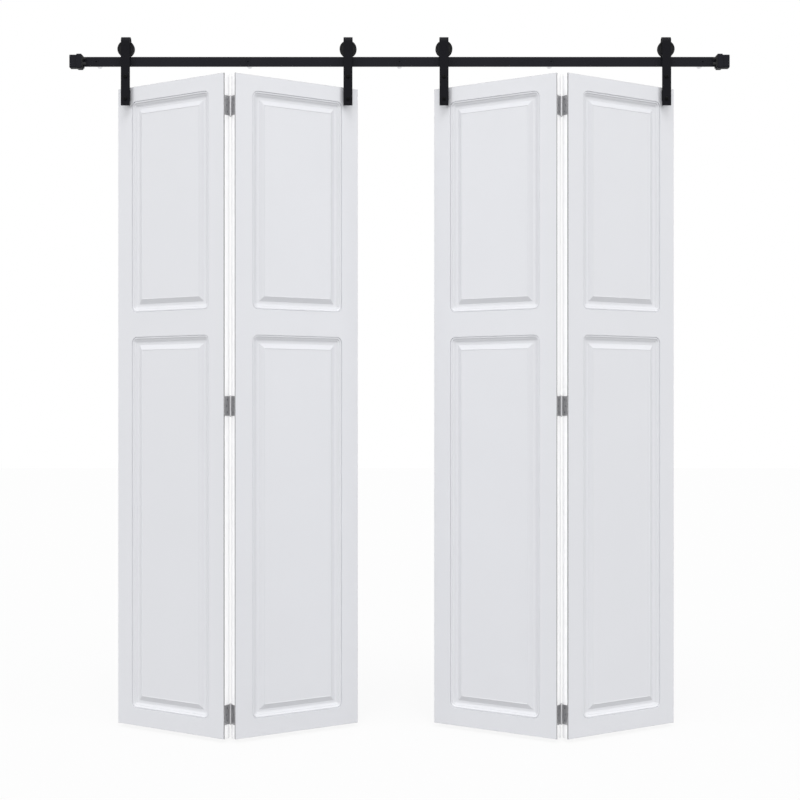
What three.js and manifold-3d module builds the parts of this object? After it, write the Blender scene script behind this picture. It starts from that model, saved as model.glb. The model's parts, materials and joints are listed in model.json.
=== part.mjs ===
// Bifold closet door: two folding pairs of moulded two-panel leaves on one exposed flat rail.
// Millimetres, +Z up. The front faces -Y and the wall is the plane y = 0. The origin is the centre of
// the middle wall spacer's back face.

import * as THREE from 'three';
import { mergeVertices } from 'three/addons/utils/BufferGeometryUtils.js';
import Module from 'manifold-3d';

const wasm = await Module();
wasm.setup();

// Clearances
const seatGap = 0.3;            // between pieces that touch
const runningGap = 0.3;         // round a pin, or between a wheel and its rail
const cutOverrun = 1;           // by which a cut passes the face that it opens
const weldTolerance = 1e-4;     // within which two points are one

// Leaf
const leafWidth = 457.2;
const leafHeight = 2133.6;
const leafThickness = 28.6;
const leafJoint = 1.5;          // between the two leaves of a pair when they lie flat
const restFoldDeg = 32.5;       // by which each leaf is turned out of the rail's plane

// Moulded skins
const skinThickness = 3.2;
const stileWidth = 62;
const topRailHeight = 48.9;
const upperPanelHeight = 705.5;
const lockRailHeight = 82.2;
const bottomRailHeight = 57.1;
const openingCornerRadius = 20; // further in, the moulding is mitred

// Moulding, from the opening's edge in to the raised field; depths are from the face.
// The bevel climbs to a crest, from which the fillet drops to the field
const quirkWidth = 0.9;
const quirkDepth = 2.4;
const beadWidth = 4.6;
const beadDepth = 1.4;
const stepWidth = 3.2;
const stepDepth = 4.4;
const shelfWidth = 3.3;
const shelfDepth = 4.9;
const coveWidth = 6;
const valleyWidth = 9;
const bevelWidth = 16.5;
const bevelDepth = 1;
const filletWidth = 2.5;
const fieldDepth = 1.8;
const sheetBend = 1.6;          // by which the back of the formed sheet turns wider than its face

// Timber frame and core inside a leaf
const frameSetback = 10;        // frame clear of the moulding
const coreWeb = 4.6;            // core where the two skins come closest

// Butt hinges between the two leaves of a pair
const hingePlateHeight = 63;
const hingePlateThickness = 2.2;
const plateBehindSkin = 1.4;    // from the back of the front skin to the plate's far edge
const knuckleRadius = 3.9;
const knuckleCount = 3;
const hingePinRadius = 1.9;
const pinTipRadius = 2.8;
const pinTipHeight = 3.6;
const topHingeDrop = 101.7;     // hinge centre below the leaf's top
const bottomHingeRise = 76.1;   // hinge centre above the leaf's bottom

// Rail and wall spacers
const railOverrun = 184.6;      // rail past the closed leaves at each end
const railHeight = 32.2;
const railThickness = 6;
const railAboveLeaf = 70.7;     // rail's lower edge above the leaf's top
const spacerLength = 57;
const spacerRadius = 9.5;
const spacerFromRailEnd = 83;
const spacerCount = 5;
const lagBoltRadius = 4;
const lagHeadRadius = 8.5;
const lagHeadDepth = 4;

// Wheel and axle
const wheelRadius = 28.5;
const grooveDepth = 2.5;
const grooveSlope = 1.4;        // by which the groove widens to its mouth on each side
const flangeWidth = 3;
const hubRadius = 10;
const rimChamfer = 1.5;
const axleRadius = 6;
const axleHeadRadius = 9.5;
const axleHeadDepth = 3.5;
const axleNutRadius = 10;
const axleNutHeight = 6.5;

// Hanger strap and its bolts
const strapWidth = 30;
const strapThickness = 5;
const strapOverWheel = 6.5;     // clear height between the wheel and the strap's bend
const strapBesideWheel = 4;     // clear width between the wheel and each leg
const strapBelowLeafTop = 61.9;
const rearLegDrop = 21;         // rear leg's end below the axle
const strapBoltRise = 34.2;     // upper bolt above the leaf's top
const strapBoltDrop = 39.6;     // lower bolt below the leaf's top
const strapBoltRadius = 4;
const strapBoltHeadRadius = 6.5;
const strapBoltHeadHeight = 4;
const boltSocketRadius = 2.9;
const boltSocketDepth = 2.6;

// Swivel hinge behind the strap
const swivelFromStrapEdge = 4;  // axis inside the strap's inner edge
const swivelFromLeafEnd = 54;   // axis from the leaf's free edge
const swivelKnuckleRadius = 4.2;
const swivelKnuckleGap = 0.8;   // between a knuckle and the strap or the leaf
const swivelPinRadius = 2;
const swivelPlateThickness = 2;
const swivelPlateSetIn = 2.5;   // plate inside the strap's outer edge
const swivelPlateMargin = 12;   // plate past a bolt's axis
const swivelBarrelHeight = 36;
const swivelBarrelDrop = 10;    // top of the barrel below the leaf's top
const swivelKnuckleCount = 3;

// End stops and bumpers
const stopBlockLength = 24;
const stopCollarLength = 17.5;
const stopEndWall = 5;
const stopCover = 5.8;          // block above and below the rail
const stopCheek = 11;           // block in front of and behind the rail
const collarRise = 2.3;         // collar past the block above and below
const collarProud = 4;          // collar past the block in front and behind
const stopCornerRadius = 4;
const bumperPadThickness = 3;
const bumperPadCover = 3.3;     // pad above and below the rail
const bumperStudRadius = 4.5;
const bumperStudLength = 12;
const bumperStudOffset = 9;     // stud axes above and below the rail's middle

// Where the pairs hang at rest
const pairGap = 150.7;          // by which the pairs stand further apart than closed leaves need
const pairsOffset = -11.7;      // middle of the door set from the rail's middle

// Facets
const roundSides = 10;
const hexSides = 6;
const wheelSides = 20;
const bendSides = 12;
const cornerSides = 2;

// Sizes that follow
const restFold = THREE.MathUtils.degToRad(restFoldDeg);
const railLength = leafWidth * 4 + railOverrun * 2;
const pairSpacing = leafWidth * 2 + pairGap;
const valleyStart = quirkWidth + beadWidth + stepWidth + shelfWidth + coveWidth;
const mouldingWidth = valleyStart + valleyWidth + bevelWidth + filletWidth;
const valleyDepth = (leafThickness - coreWeb) / 2 - skinThickness - seatGap;
const hingePlateWidth = leafThickness - skinThickness - plateBehindSkin;
const hingeFromBack = knuckleRadius + seatGap;
const grooveFloorHalf = railThickness / 2 + runningGap * 2;
const grooveMouthHalf = grooveFloorHalf + grooveSlope;
const wheelHalfWidth = grooveMouthHalf + flangeWidth;
const strapInner = wheelHalfWidth + strapBesideWheel;
const strapOuter = strapInner + strapThickness;
const swivelFromLeafFace = swivelKnuckleRadius + swivelKnuckleGap;
const swivelY = swivelFromLeafFace - strapInner;
const leafNear = -swivelFromLeafEnd;
const leafFar = leafWidth - swivelFromLeafEnd;
const leafFront = swivelFromLeafFace;
const leafBack = leafFront + leafThickness;
const leafTopZ = -railHeight / 2 - railAboveLeaf;
const hingeX = leafFar + leafJoint / 2;
const hingeY = leafBack + hingeFromBack;
const rollRadius = wheelRadius - grooveDepth;
const axleZ = railHeight / 2 + runningGap + rollRadius;
const railCentreY = -(spacerLength + railThickness / 2);
const pairHalfSpan = hingeX * Math.cos(restFold) + hingeY * Math.sin(restFold);
const railEndX = -railLength / 2;
const stopOutsideX = railEndX - seatGap - stopEndWall;
const stopInsideX = stopOutsideX + stopBlockLength + stopCollarLength;
const stopBlockHeight = railHeight + stopCover * 2;
const stopBlockDepth = railThickness + stopCheek * 2;
const stopCollarHeight = stopBlockHeight + collarRise * 2;
const stopCollarDepth = stopBlockDepth + collarProud * 2;
const bumperPadHeight = railHeight + bumperPadCover * 2;

// Solids

function outwardGeometry(geometry) {
  const bare = geometry.clone();
  bare.deleteAttribute('normal');
  bare.deleteAttribute('uv');
  const merged = mergeVertices(bare, weldTolerance);
  const position = merged.getAttribute('position');
  const index = merged.getIndex();
  const a = new THREE.Vector3();
  const b = new THREE.Vector3();
  const c = new THREE.Vector3();
  let sixfoldVolume = 0;
  for (let i = 0; i < index.count; i += 3) {
    a.fromBufferAttribute(position, index.getX(i));
    b.fromBufferAttribute(position, index.getX(i + 1));
    c.fromBufferAttribute(position, index.getX(i + 2));
    sixfoldVolume += a.dot(b.cross(c));
  }
  if (sixfoldVolume < 0) {
    for (let i = 0; i < index.count; i += 3) {
      const first = index.getX(i);
      index.setX(i, index.getX(i + 1));
      index.setX(i + 1, first);
    }
  }
  return merged;
}

function solidOf(geometry) {
  const outward = outwardGeometry(geometry);
  return new wasm.Manifold(new wasm.Mesh({
    numProp: 3,
    vertProperties: new Float32Array(outward.getAttribute('position').array),
    triVerts: new Uint32Array(outward.getIndex().array),
  }));
}

function geometryOf(solid) {
  const mesh = solid.getMesh();
  const geometry = new THREE.BufferGeometry();
  geometry.setAttribute('position', new THREE.BufferAttribute(mesh.vertProperties, 3));
  geometry.setIndex(new THREE.BufferAttribute(mesh.triVerts, 1));
  return geometry;
}

function joined(...geometries) {
  return geometryOf(geometries.map(solidOf).reduce((whole, next) => whole.add(next)));
}

function cut(geometry, ...tools) {
  return geometryOf(tools.map(solidOf).reduce((whole, next) => whole.subtract(next), solidOf(geometry)));
}

function mirrored(geometry) {
  return outwardGeometry(geometry.clone().applyMatrix4(new THREE.Matrix4().makeScale(-1, 1, 1)));
}

function box(x0, x1, y0, y1, z0, z1) {
  const geometry = new THREE.BoxGeometry(x1 - x0, y1 - y0, z1 - z0);
  return geometry.translate((x0 + x1) / 2, (y0 + y1) / 2, (z0 + z1) / 2);
}

// An arc of a shape gets twice the given number of curve segments
function extruded(shape, length, across, up, along, curveSegments) {
  const geometry = new THREE.ExtrudeGeometry(shape, {
    depth: length, bevelEnabled: false, curveSegments,
  });
  return geometry.applyMatrix4(new THREE.Matrix4().makeBasis(across, up, along));
}

const X = new THREE.Vector3(1, 0, 0);
const Y = new THREE.Vector3(0, 1, 0);
const Z = new THREE.Vector3(0, 0, 1);

// A shape drawn across Y and Z, from x0 to x1
function prismAlongX(shape, x0, x1, curveSegments = 1) {
  return extruded(shape, x1 - x0, Y, Z, X, curveSegments).translate(x0, 0, 0);
}

// A shape drawn across X and Z, from y0 to y1
function prismAlongY(shape, y0, y1) {
  return extruded(shape, y1 - y0, X, Z, Y.clone().negate(), 1).translate(0, y1, 0);
}

function rodAlongX(radius, x0, x1, y, z) {
  const geometry = new THREE.CylinderGeometry(radius, radius, x1 - x0, roundSides);
  return geometry.rotateZ(Math.PI / 2).translate((x0 + x1) / 2, y, z);
}

function rodAlongY(radius, y0, y1, x, z, sides = roundSides) {
  const geometry = new THREE.CylinderGeometry(radius, radius, y1 - y0, sides);
  return geometry.translate(x, (y0 + y1) / 2, z);
}

function rodAlongZ(radius, z0, z1, x, y) {
  const geometry = new THREE.CylinderGeometry(radius, radius, z1 - z0, roundSides);
  return geometry.rotateX(Math.PI / 2).translate(x, y, (z0 + z1) / 2);
}

// A profile of [radius, y] points turned about the Y axis
function turned(profile, sides) {
  return new THREE.LatheGeometry(profile.map(([r, y]) => new THREE.Vector2(r, y)), sides);
}

// A bolt along Y with a countersunk head, from the head's face to the bolt's end
function countersunkBolt(headRadius, radius, headDepth, face, end) {
  return turned([
    [0, face],
    [headRadius, face],
    [radius, face + headDepth],
    [radius, end],
    [0, end],
  ], roundSides);
}

// The hole for such a bolt, open at both ends
function countersunkHole(headRadius, radius, headDepth, face, end) {
  return turned([
    [0, face - cutOverrun],
    [headRadius + seatGap, face - cutOverrun],
    [headRadius + seatGap, face],
    [radius + seatGap, face + headDepth],
    [radius + seatGap, end + cutOverrun],
    [0, end + cutOverrun],
  ], roundSides);
}

function rectangle(x0, x1, y0, y1) {
  const shape = new THREE.Shape();
  shape.moveTo(x0, y0);
  shape.lineTo(x1, y0);
  shape.lineTo(x1, y1);
  shape.lineTo(x0, y1);
  shape.closePath();
  return shape;
}

function roundedRectangle(x0, x1, y0, y1, radius) {
  const shape = new THREE.Shape();
  shape.moveTo(x0 + radius, y0);
  shape.lineTo(x1 - radius, y0);
  shape.absarc(x1 - radius, y0 + radius, radius, -Math.PI / 2, 0);
  shape.lineTo(x1, y1 - radius);
  shape.absarc(x1 - radius, y1 - radius, radius, 0, Math.PI / 2);
  shape.lineTo(x0 + radius, y1);
  shape.absarc(x0 + radius, y1 - radius, radius, Math.PI / 2, Math.PI);
  shape.lineTo(x0, y0 + radius);
  shape.absarc(x0 + radius, y0 + radius, radius, Math.PI, Math.PI * 1.5);
  return shape;
}

// Moulded skins: a sheet formed over two raised panels

// The two openings in a leaf's face, from its top at z = 0
function panelOpenings() {
  const upperBottom = -topRailHeight - upperPanelHeight;
  const x0 = leafNear + stileWidth;
  const x1 = leafFar - stileWidth;
  return [
    { x0, x1, z0: upperBottom, z1: -topRailHeight },
    { x0, x1, z0: -leafHeight + bottomRailHeight, z1: upperBottom - lockRailHeight },
  ];
}

// Inset from the opening's edge against depth from the face
function mouldingProfile() {
  const steps = [
    [0, 0],
    [quirkWidth, quirkDepth],
    [beadWidth, beadDepth],
    [stepWidth, stepDepth],
    [shelfWidth, shelfDepth],
    [coveWidth, valleyDepth],
    [valleyWidth, valleyDepth],
    [bevelWidth, bevelDepth],
    [filletWidth, fieldDepth],
  ];
  let inset = 0;
  return steps.map(([width, depth]) => {
    inset += width;
    return new THREE.Vector2(inset, depth);
  });
}

// The back of the same sheet, which turns in wider bends
function sheetBackProfile() {
  return [
    new THREE.Vector2(0, skinThickness),
    new THREE.Vector2(valleyStart - sheetBend, valleyDepth + skinThickness),
    new THREE.Vector2(valleyStart + valleyWidth + sheetBend, valleyDepth + skinThickness),
    new THREE.Vector2(mouldingWidth - filletWidth, bevelDepth + skinThickness),
    new THREE.Vector2(mouldingWidth, fieldDepth + skinThickness),
  ];
}

// A loop round an opening, inset by a step of the profile and laid at its depth. Past the corner
// radius the points of each corner coincide
function openingLoop(opening, { x: inset, y: depth }) {
  const radius = Math.max(openingCornerRadius - inset, 0);
  const x0 = opening.x0 + inset;
  const x1 = opening.x1 - inset;
  const z0 = opening.z0 + inset;
  const z1 = opening.z1 - inset;
  const corners = [
    [x1 - radius, z0 + radius, -Math.PI / 2],
    [x1 - radius, z1 - radius, 0],
    [x0 + radius, z1 - radius, Math.PI / 2],
    [x0 + radius, z0 + radius, Math.PI],
  ];
  return corners.flatMap(([x, z, start]) => Array.from({ length: cornerSides + 1 }, (_, i) => {
    const angle = start + Math.PI / 2 * i / cornerSides;
    return new THREE.Vector3(x + radius * Math.cos(angle), depth, z + radius * Math.sin(angle));
  }));
}

function leafOutline(depth) {
  return [[leafNear, -leafHeight], [leafFar, -leafHeight], [leafFar, 0], [leafNear, 0]]
    .map(([x, z]) => new THREE.Vector3(x, depth, z));
}

function pushTriangle(triangles, a, b, c, facesFront) {
  if (a.equals(b) || b.equals(c) || c.equals(a)) return;
  triangles.push(...(facesFront ? [a, b, c] : [a, c, b]));
}

function withoutRepeats(loop) {
  return loop.filter((point, i) => !point.equals(loop[(i + 1) % loop.length]));
}

// A flat face inside an outline, less its holes
function pushFlatFace(triangles, outline, holes, facesFront) {
  const flat = (loop) => loop.map((point) => new THREE.Vector2(point.x, point.z));
  const points = [outline, ...holes].flat();
  for (const [a, b, c] of THREE.ShapeUtils.triangulateShape(flat(outline), holes.map(flat))) {
    const turn = THREE.ShapeUtils.area(flat([points[a], points[b], points[c]]));
    pushTriangle(triangles, points[a], points[b], points[c], turn > 0 === facesFront);
  }
}

// The band of faces between two loops with as many points
function pushBand(triangles, outer, inner, facesFront) {
  outer.forEach((point, i) => {
    const next = (i + 1) % outer.length;
    pushTriangle(triangles, point, outer[next], inner[next], facesFront);
    pushTriangle(triangles, point, inner[next], inner[i], facesFront);
  });
}

function pushSheetSide(triangles, profile, openings, facesFront) {
  const outline = leafOutline(facesFront ? 0 : skinThickness);
  const loops = openings.map((opening) => profile.map((step) => openingLoop(opening, step)));
  pushFlatFace(triangles, outline, loops.map((rings) => rings[0]), facesFront);
  for (const rings of loops) {
    rings.slice(1).forEach((ring, i) => pushBand(triangles, rings[i], ring, facesFront));
    pushFlatFace(triangles, withoutRepeats(rings.at(-1)), [], facesFront);
  }
}

// The front skin: its face lies at y = 0 and its back towards +Y
function mouldedSheet() {
  const triangles = [];
  const openings = panelOpenings();
  pushSheetSide(triangles, mouldingProfile(), openings, true);
  pushSheetSide(triangles, sheetBackProfile(), openings, false);
  pushBand(triangles, leafOutline(0), leafOutline(skinThickness), false);
  const geometry = new THREE.BufferGeometry().setFromPoints(triangles);
  return outwardGeometry(geometry);
}

function hingeCentres() {
  return [-topHingeDrop, -leafHeight / 2, -leafHeight + bottomHingeRise];
}

// The gains in a leaf's hinge edge, into which the hinge plates are let
function hingeGains() {
  const halfHeight = hingePlateHeight / 2 + seatGap;
  return hingeCentres().map((z) => box(
    leafFar - hingePlateThickness - seatGap, leafFar + cutOverrun,
    leafBack - hingePlateWidth - seatGap, leafBack + cutOverrun,
    z - halfHeight, z + halfHeight,
  ));
}

function frontSkin() {
  return mouldedSheet().translate(0, leafFront, 0);
}

function backSkin() {
  const sheet = mouldedSheet().rotateZ(Math.PI).translate(leafNear + leafFar, leafBack, 0);
  return cut(sheet, ...hingeGains());
}

// The window in the frame, drawn in by a gap
function frameWindow(gap) {
  const inset = stileWidth - frameSetback + gap;
  return rectangle(
    leafNear + inset, leafFar - inset,
    -leafHeight + bottomRailHeight - frameSetback + gap, -topRailHeight + frameSetback - gap,
  );
}

function timberFrame() {
  const front = leafFront + skinThickness + seatGap;
  const back = leafBack - skinThickness - seatGap;
  const outline = rectangle(leafNear, leafFar, -leafHeight, 0);
  outline.holes.push(frameWindow(0));
  return cut(prismAlongY(outline, front, back), ...hingeGains());
}

// The core fills the frame. It is pressed thin under the mouldings and stands back behind the fields
function leafCore() {
  const front = leafFront + skinThickness + seatGap;
  const back = leafBack - skinThickness - seatGap;
  const block = prismAlongY(frameWindow(seatGap), front, back);
  const pockets = panelOpenings().flatMap((opening) => {
    const shape = (inset) => rectangle(
      opening.x0 + inset, opening.x1 - inset, opening.z0 + inset, opening.z1 - inset,
    );
    const ring = shape(-seatGap);
    ring.holes.push(shape(mouldingWidth + seatGap));
    const field = shape(mouldingWidth - seatGap);
    return [
      prismAlongY(ring, front - cutOverrun, front + valleyDepth),
      prismAlongY(ring, back - valleyDepth, back + cutOverrun),
      prismAlongY(field, front - cutOverrun, front + fieldDepth),
      prismAlongY(field, back - fieldDepth, back + cutOverrun),
    ];
  });
  return cut(block, ...pockets);
}

// Butt hinges, drawn with the pin's axis at the origin, for the leaf on the left of it

// Knuckles of a barrel, every second one from the first, as [bottom, top]
function knuckleSpans(height, count, first) {
  const pitch = height / count;
  const spans = [];
  for (let i = first; i < count; i += 2) {
    const gapBelow = i === 0 ? 0 : seatGap / 2;
    const gapAbove = i === count - 1 ? 0 : seatGap / 2;
    spans.push([-height / 2 + i * pitch + gapBelow, -height / 2 + (i + 1) * pitch - gapAbove]);
  }
  return spans;
}

function buttHingePlate() {
  const inner = -leafJoint / 2;
  const outer = inner - hingePlateThickness;
  const nearBarrel = -knuckleRadius - seatGap;
  const farEdge = -hingeFromBack - hingePlateWidth;
  return {
    blade: box(outer, inner, farEdge, nearBarrel, -hingePlateHeight / 2, hingePlateHeight / 2),
    finger: (z0, z1) => box(outer, inner, nearBarrel - cutOverrun, 0, z0, z1),
  };
}

function buttHingePinPlate() {
  const { blade, finger } = buttHingePlate();
  const spans = knuckleSpans(hingePlateHeight, knuckleCount, 0);
  const barrel = spans.map(([z0, z1]) => rodAlongZ(knuckleRadius, z0, z1, 0, 0));
  const end = hingePlateHeight / 2;
  const tip = (sign) => {
    const cone = new THREE.CylinderGeometry(
      hingePinRadius, pinTipRadius, pinTipHeight, roundSides,
    );
    cone.rotateX(Math.PI / 2 * sign);
    return cone.translate(0, 0, sign * (end + pinTipHeight / 2));
  };
  const pin = rodAlongZ(hingePinRadius, -end, end, 0, 0);
  return joined(blade, ...spans.map(([z0, z1]) => finger(z0, z1)), ...barrel, pin, tip(1), tip(-1));
}

function buttHingeFreePlate() {
  const { blade, finger } = buttHingePlate();
  const spans = knuckleSpans(hingePlateHeight, knuckleCount, 1);
  const barrel = spans.map(([z0, z1]) => rodAlongZ(knuckleRadius, z0, z1, 0, 0));
  const end = hingePlateHeight / 2;
  const bore = rodAlongZ(hingePinRadius + runningGap, -end, end, 0, 0);
  return cut(joined(blade, ...spans.map(([z0, z1]) => finger(z0, z1)), ...barrel), bore);
}

// Hanger, drawn with the swivel's axis at the origin and the leaf's top at z = 0. The strap lies in
// front, at -Y, and its inner edge is at +X

function strapMiddleX() {
  return swivelFromStrapEdge - strapWidth / 2;
}

function axleHeight() {
  return axleZ - leafTopZ;
}

function strapMiddleY() {
  return -swivelY;
}

function strap() {
  const outer = strapOuter;
  const inner = strapInner;
  const bendZ = axleHeight() + wheelRadius + strapOverWheel - inner;
  const frontEnd = -strapBelowLeafTop;
  const rearEnd = axleHeight() - rearLegDrop;
  const side = new THREE.Shape();
  side.moveTo(-outer, frontEnd);
  side.lineTo(-inner, frontEnd);
  side.lineTo(-inner, bendZ);
  side.absarc(0, bendZ, inner, Math.PI, 0, true);
  side.lineTo(inner, rearEnd);
  side.lineTo(outer, rearEnd);
  side.lineTo(outer, bendZ);
  side.absarc(0, bendZ, outer, 0, Math.PI);
  side.closePath();
  const x0 = swivelFromStrapEdge - strapWidth;
  const bent = prismAlongX(side, x0, swivelFromStrapEdge, bendSides / 2)
    .translate(0, strapMiddleY(), 0);
  const axleHole = countersunkHole(axleHeadRadius, axleRadius, axleHeadDepth, -outer, outer);
  const boltHole = (z) => rodAlongY(
    strapBoltRadius + seatGap * 2, strapMiddleY() - outer - cutOverrun, strapMiddleY(),
    strapMiddleX(), z,
  );
  return cut(
    bent,
    axleHole.translate(strapMiddleX(), strapMiddleY(), axleHeight()),
    boltHole(strapBoltRise),
    boltHole(-strapBoltDrop),
  );
}

function wheel() {
  const bore = axleRadius + runningGap * 2;
  const side = wheelHalfWidth;
  const hubEnd = strapInner - seatGap;
  const half = [
    [rollRadius, grooveFloorHalf],
    [wheelRadius, grooveMouthHalf],
    [wheelRadius, side - rimChamfer],
    [wheelRadius - rimChamfer, side],
    [hubRadius, side],
    [hubRadius, hubEnd],
    [bore, hubEnd],
  ];
  const front = half.map(([r, y]) => [r, -y]).reverse();
  const profile = [...front, ...half, front[0]];
  return turned(profile, wheelSides).translate(strapMiddleX(), strapMiddleY(), axleHeight());
}

// The axle lies flush in the strap's front leg, with its nut behind the rear leg
function axle() {
  const face = strapOuter + seatGap;
  const nut = rodAlongY(axleNutRadius, face, face + axleNutHeight, 0, 0, hexSides);
  const bolt = countersunkBolt(
    axleHeadRadius, axleRadius, axleHeadDepth, -strapOuter, face + axleNutHeight / 2,
  );
  return joined(bolt, nut).translate(strapMiddleX(), strapMiddleY(), axleHeight());
}

// One flap of the swivel hinge: a plate that lies off the axis by the given distance, and its fingers
function swivelFlap(near, far, z0, z1, spans) {
  const plateEnd = -swivelKnuckleRadius - seatGap * 2;
  const reach = strapWidth - swivelFromStrapEdge - swivelPlateSetIn;
  const plate = box(-reach, plateEnd, near, far, z0, z1);
  const fingers = spans.map(([low, high]) => box(plateEnd - cutOverrun, 0, near, far, low, high));
  const barrel = spans.map(([low, high]) => rodAlongZ(swivelKnuckleRadius, low, high, 0, 0));
  return joined(plate, ...fingers, ...barrel);
}

function swivelSpans(first) {
  const middle = -swivelBarrelDrop - swivelBarrelHeight / 2;
  return knuckleSpans(swivelBarrelHeight, swivelKnuckleCount, first)
    .map(([low, high]) => [low + middle, high + middle]);
}

// A bolt that is riveted to the plate behind the strap, with its round head and hex socket in front
function strapBolt(z, plateFace) {
  const x = strapMiddleX();
  const headBack = strapMiddleY() - strapOuter - seatGap;
  const headFront = headBack - strapBoltHeadHeight;
  const crown = strapBoltHeadHeight / 2;
  const head = turned([
    [0, headFront],
    [strapBoltHeadRadius - crown, headFront],
    [strapBoltHeadRadius, headFront + crown],
    [strapBoltHeadRadius, headBack],
    [0, headBack],
  ], roundSides).translate(x, 0, z);
  const socket = rodAlongY(
    boltSocketRadius, headFront - cutOverrun, headFront + boltSocketDepth, x, z, hexSides,
  );
  const shank = rodAlongY(strapBoltRadius, headBack - seatGap, plateFace + seatGap, x, z);
  return joined(cut(head, socket), shank);
}

function swivelPinPlate() {
  const near = seatGap - swivelFromLeafFace;
  const far = near + swivelPlateThickness;
  const low = Math.min(-strapBoltDrop - swivelPlateMargin, -swivelBarrelDrop - swivelBarrelHeight);
  const flap = swivelFlap(near, far, low, strapBoltRise + swivelPlateMargin, swivelSpans(0));
  const pin = rodAlongZ(
    swivelPinRadius, -swivelBarrelDrop - swivelBarrelHeight, -swivelBarrelDrop, 0, 0,
  );
  return joined(flap, pin, strapBolt(strapBoltRise, near), strapBolt(-strapBoltDrop, near));
}

function swivelLeafPlate() {
  const far = swivelFromLeafFace - seatGap;
  const low = -swivelBarrelDrop - swivelBarrelHeight;
  const flap = swivelFlap(far - swivelPlateThickness, far, low, -swivelBarrelDrop, swivelSpans(1));
  return cut(flap, rodAlongZ(swivelPinRadius + runningGap, low, -swivelBarrelDrop, 0, 0));
}

// Rail, spacers, stops and bumpers, drawn with the rail's middle at the origin

function spacerPlaces() {
  const first = railEndX + spacerFromRailEnd;
  const spacing = -first * 2 / (spacerCount - 1);
  return Array.from({ length: spacerCount }, (_, i) => first + i * spacing);
}

function rail() {
  const bar = box(
    -railLength / 2, railLength / 2,
    -railThickness / 2, railThickness / 2,
    -railHeight / 2, railHeight / 2,
  );
  const holes = spacerPlaces().map((x) => countersunkHole(
    lagHeadRadius, lagBoltRadius, lagHeadDepth, -railThickness / 2, railThickness / 2,
  ).translate(x, 0, 0));
  return cut(bar, ...holes);
}

function spacerWithLagBolt() {
  const start = railThickness / 2 + seatGap;
  const end = railThickness / 2 + spacerLength;
  const bolt = countersunkBolt(
    lagHeadRadius, lagBoltRadius, lagHeadDepth, -railThickness / 2, start + seatGap,
  );
  return joined(bolt, rodAlongY(spacerRadius, start, end, 0, 0));
}

function railSlot(x0, x1) {
  const halfDepth = railThickness / 2 + seatGap;
  const halfHeight = railHeight / 2 + seatGap;
  return box(x0, x1, -halfDepth, halfDepth, -halfHeight, halfHeight);
}

// The stop at the rail's left end
function endStop() {
  const stepX = stopInsideX - stopCollarLength;
  const section = (depth, height) => roundedRectangle(
    -depth / 2, depth / 2, -height / 2, height / 2, stopCornerRadius,
  );
  const block = prismAlongX(
    section(stopBlockDepth, stopBlockHeight), stopOutsideX, stepX + cutOverrun,
  );
  const collar = prismAlongX(section(stopCollarDepth, stopCollarHeight), stepX, stopInsideX);
  return cut(joined(block, collar), railSlot(railEndX - seatGap, stopInsideX + cutOverrun));
}

// The rubber on the left stop: a pad round the rail with two studs that meet the strap's edge
function bumper() {
  const start = stopInsideX + seatGap;
  const end = start + bumperPadThickness;
  const halfDepth = stopCollarDepth / 2;
  const halfHeight = bumperPadHeight / 2;
  const pad = prismAlongX(
    roundedRectangle(-halfDepth, halfDepth, -halfHeight, halfHeight, stopCornerRadius), start, end,
  );
  const studs = [-bumperStudOffset, bumperStudOffset].map((z) => rodAlongX(
    bumperStudRadius, end - seatGap, end + bumperStudLength, -strapInner, z,
  ));
  return cut(joined(pad, ...studs), railSlot(start - cutOverrun, end + cutOverrun));
}

// Materials

function finish(color, roughness, metalness) {
  return () => new THREE.MeshStandardMaterial({ color, roughness, metalness });
}

const whitePaint = finish(0xe3e4e8, 0.45, 0);
const paintedTimber = finish(0xe0e1e5, 0.5, 0);
const honeycomb = finish(0xb89b72, 0.95, 0);
const zincPlate = finish(0x8f9194, 0.35, 0.9);
const blackCoat = finish(0x23252b, 0.55, 0.3);
const blackNylon = finish(0x1c1d21, 0.6, 0);
const blackRubber = finish(0x141416, 0.9, 0);

// Assembly

function piece(name, geometry, makeMaterial) {
  const mesh = new THREE.Mesh(geometry, makeMaterial());
  mesh.name = name;
  return mesh;
}

const handed = (geometry) => ({ left: geometry, right: mirrored(geometry) });

const leafParts = {
  front_skin: [handed(frontSkin()), whitePaint],
  back_skin: [handed(backSkin()), whitePaint],
  frame: [handed(timberFrame()), paintedTimber],
  core: [handed(leafCore()), honeycomb],
  swivel_leaf_plate: [handed(swivelLeafPlate()), blackCoat],
};

const hangerParts = {
  strap: [handed(strap()), blackCoat],
  wheel: [handed(wheel()), blackNylon],
  axle_bolt: [handed(axle()), blackCoat],
  swivel_pin_plate: [handed(swivelPinPlate()), blackCoat],
};

const pinPlates = handed(buttHingePinPlate());
const freePlates = handed(buttHingeFreePlate());
const hingeNames = ['top', 'middle', 'bottom'];

function addParts(group, prefix, hand, parts) {
  for (const [name, [geometry, material]] of Object.entries(parts)) {
    group.add(piece(`${prefix}_${name}`, geometry[hand], material));
  }
}

// One side of a pair: a hanger, and the leaf that swivels on it
function hangerAndLeaf(prefix, pairName, hand) {
  const side = hand === 'left' ? -1 : 1;
  const hanger = new THREE.Group();
  hanger.position.set(side * pairHalfSpan, swivelY, leafTopZ);
  addParts(hanger, prefix, hand, hangerParts);
  const leaf = new THREE.Group();
  leaf.rotation.z = side * restFold;
  addParts(leaf, prefix, hand, leafParts);
  const [plates, plateName] = hand === 'left' ? [pinPlates, 'pin_plate'] : [freePlates, 'plate'];
  hingeCentres().forEach((z, i) => {
    const plate = piece(`${pairName}_${hingeNames[i]}_hinge_${plateName}`, plates[hand], zincPlate);
    plate.position.set(-side * hingeX, hingeY, z);
    leaf.add(plate);
  });
  hanger.add(leaf);
  return hanger;
}

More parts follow.
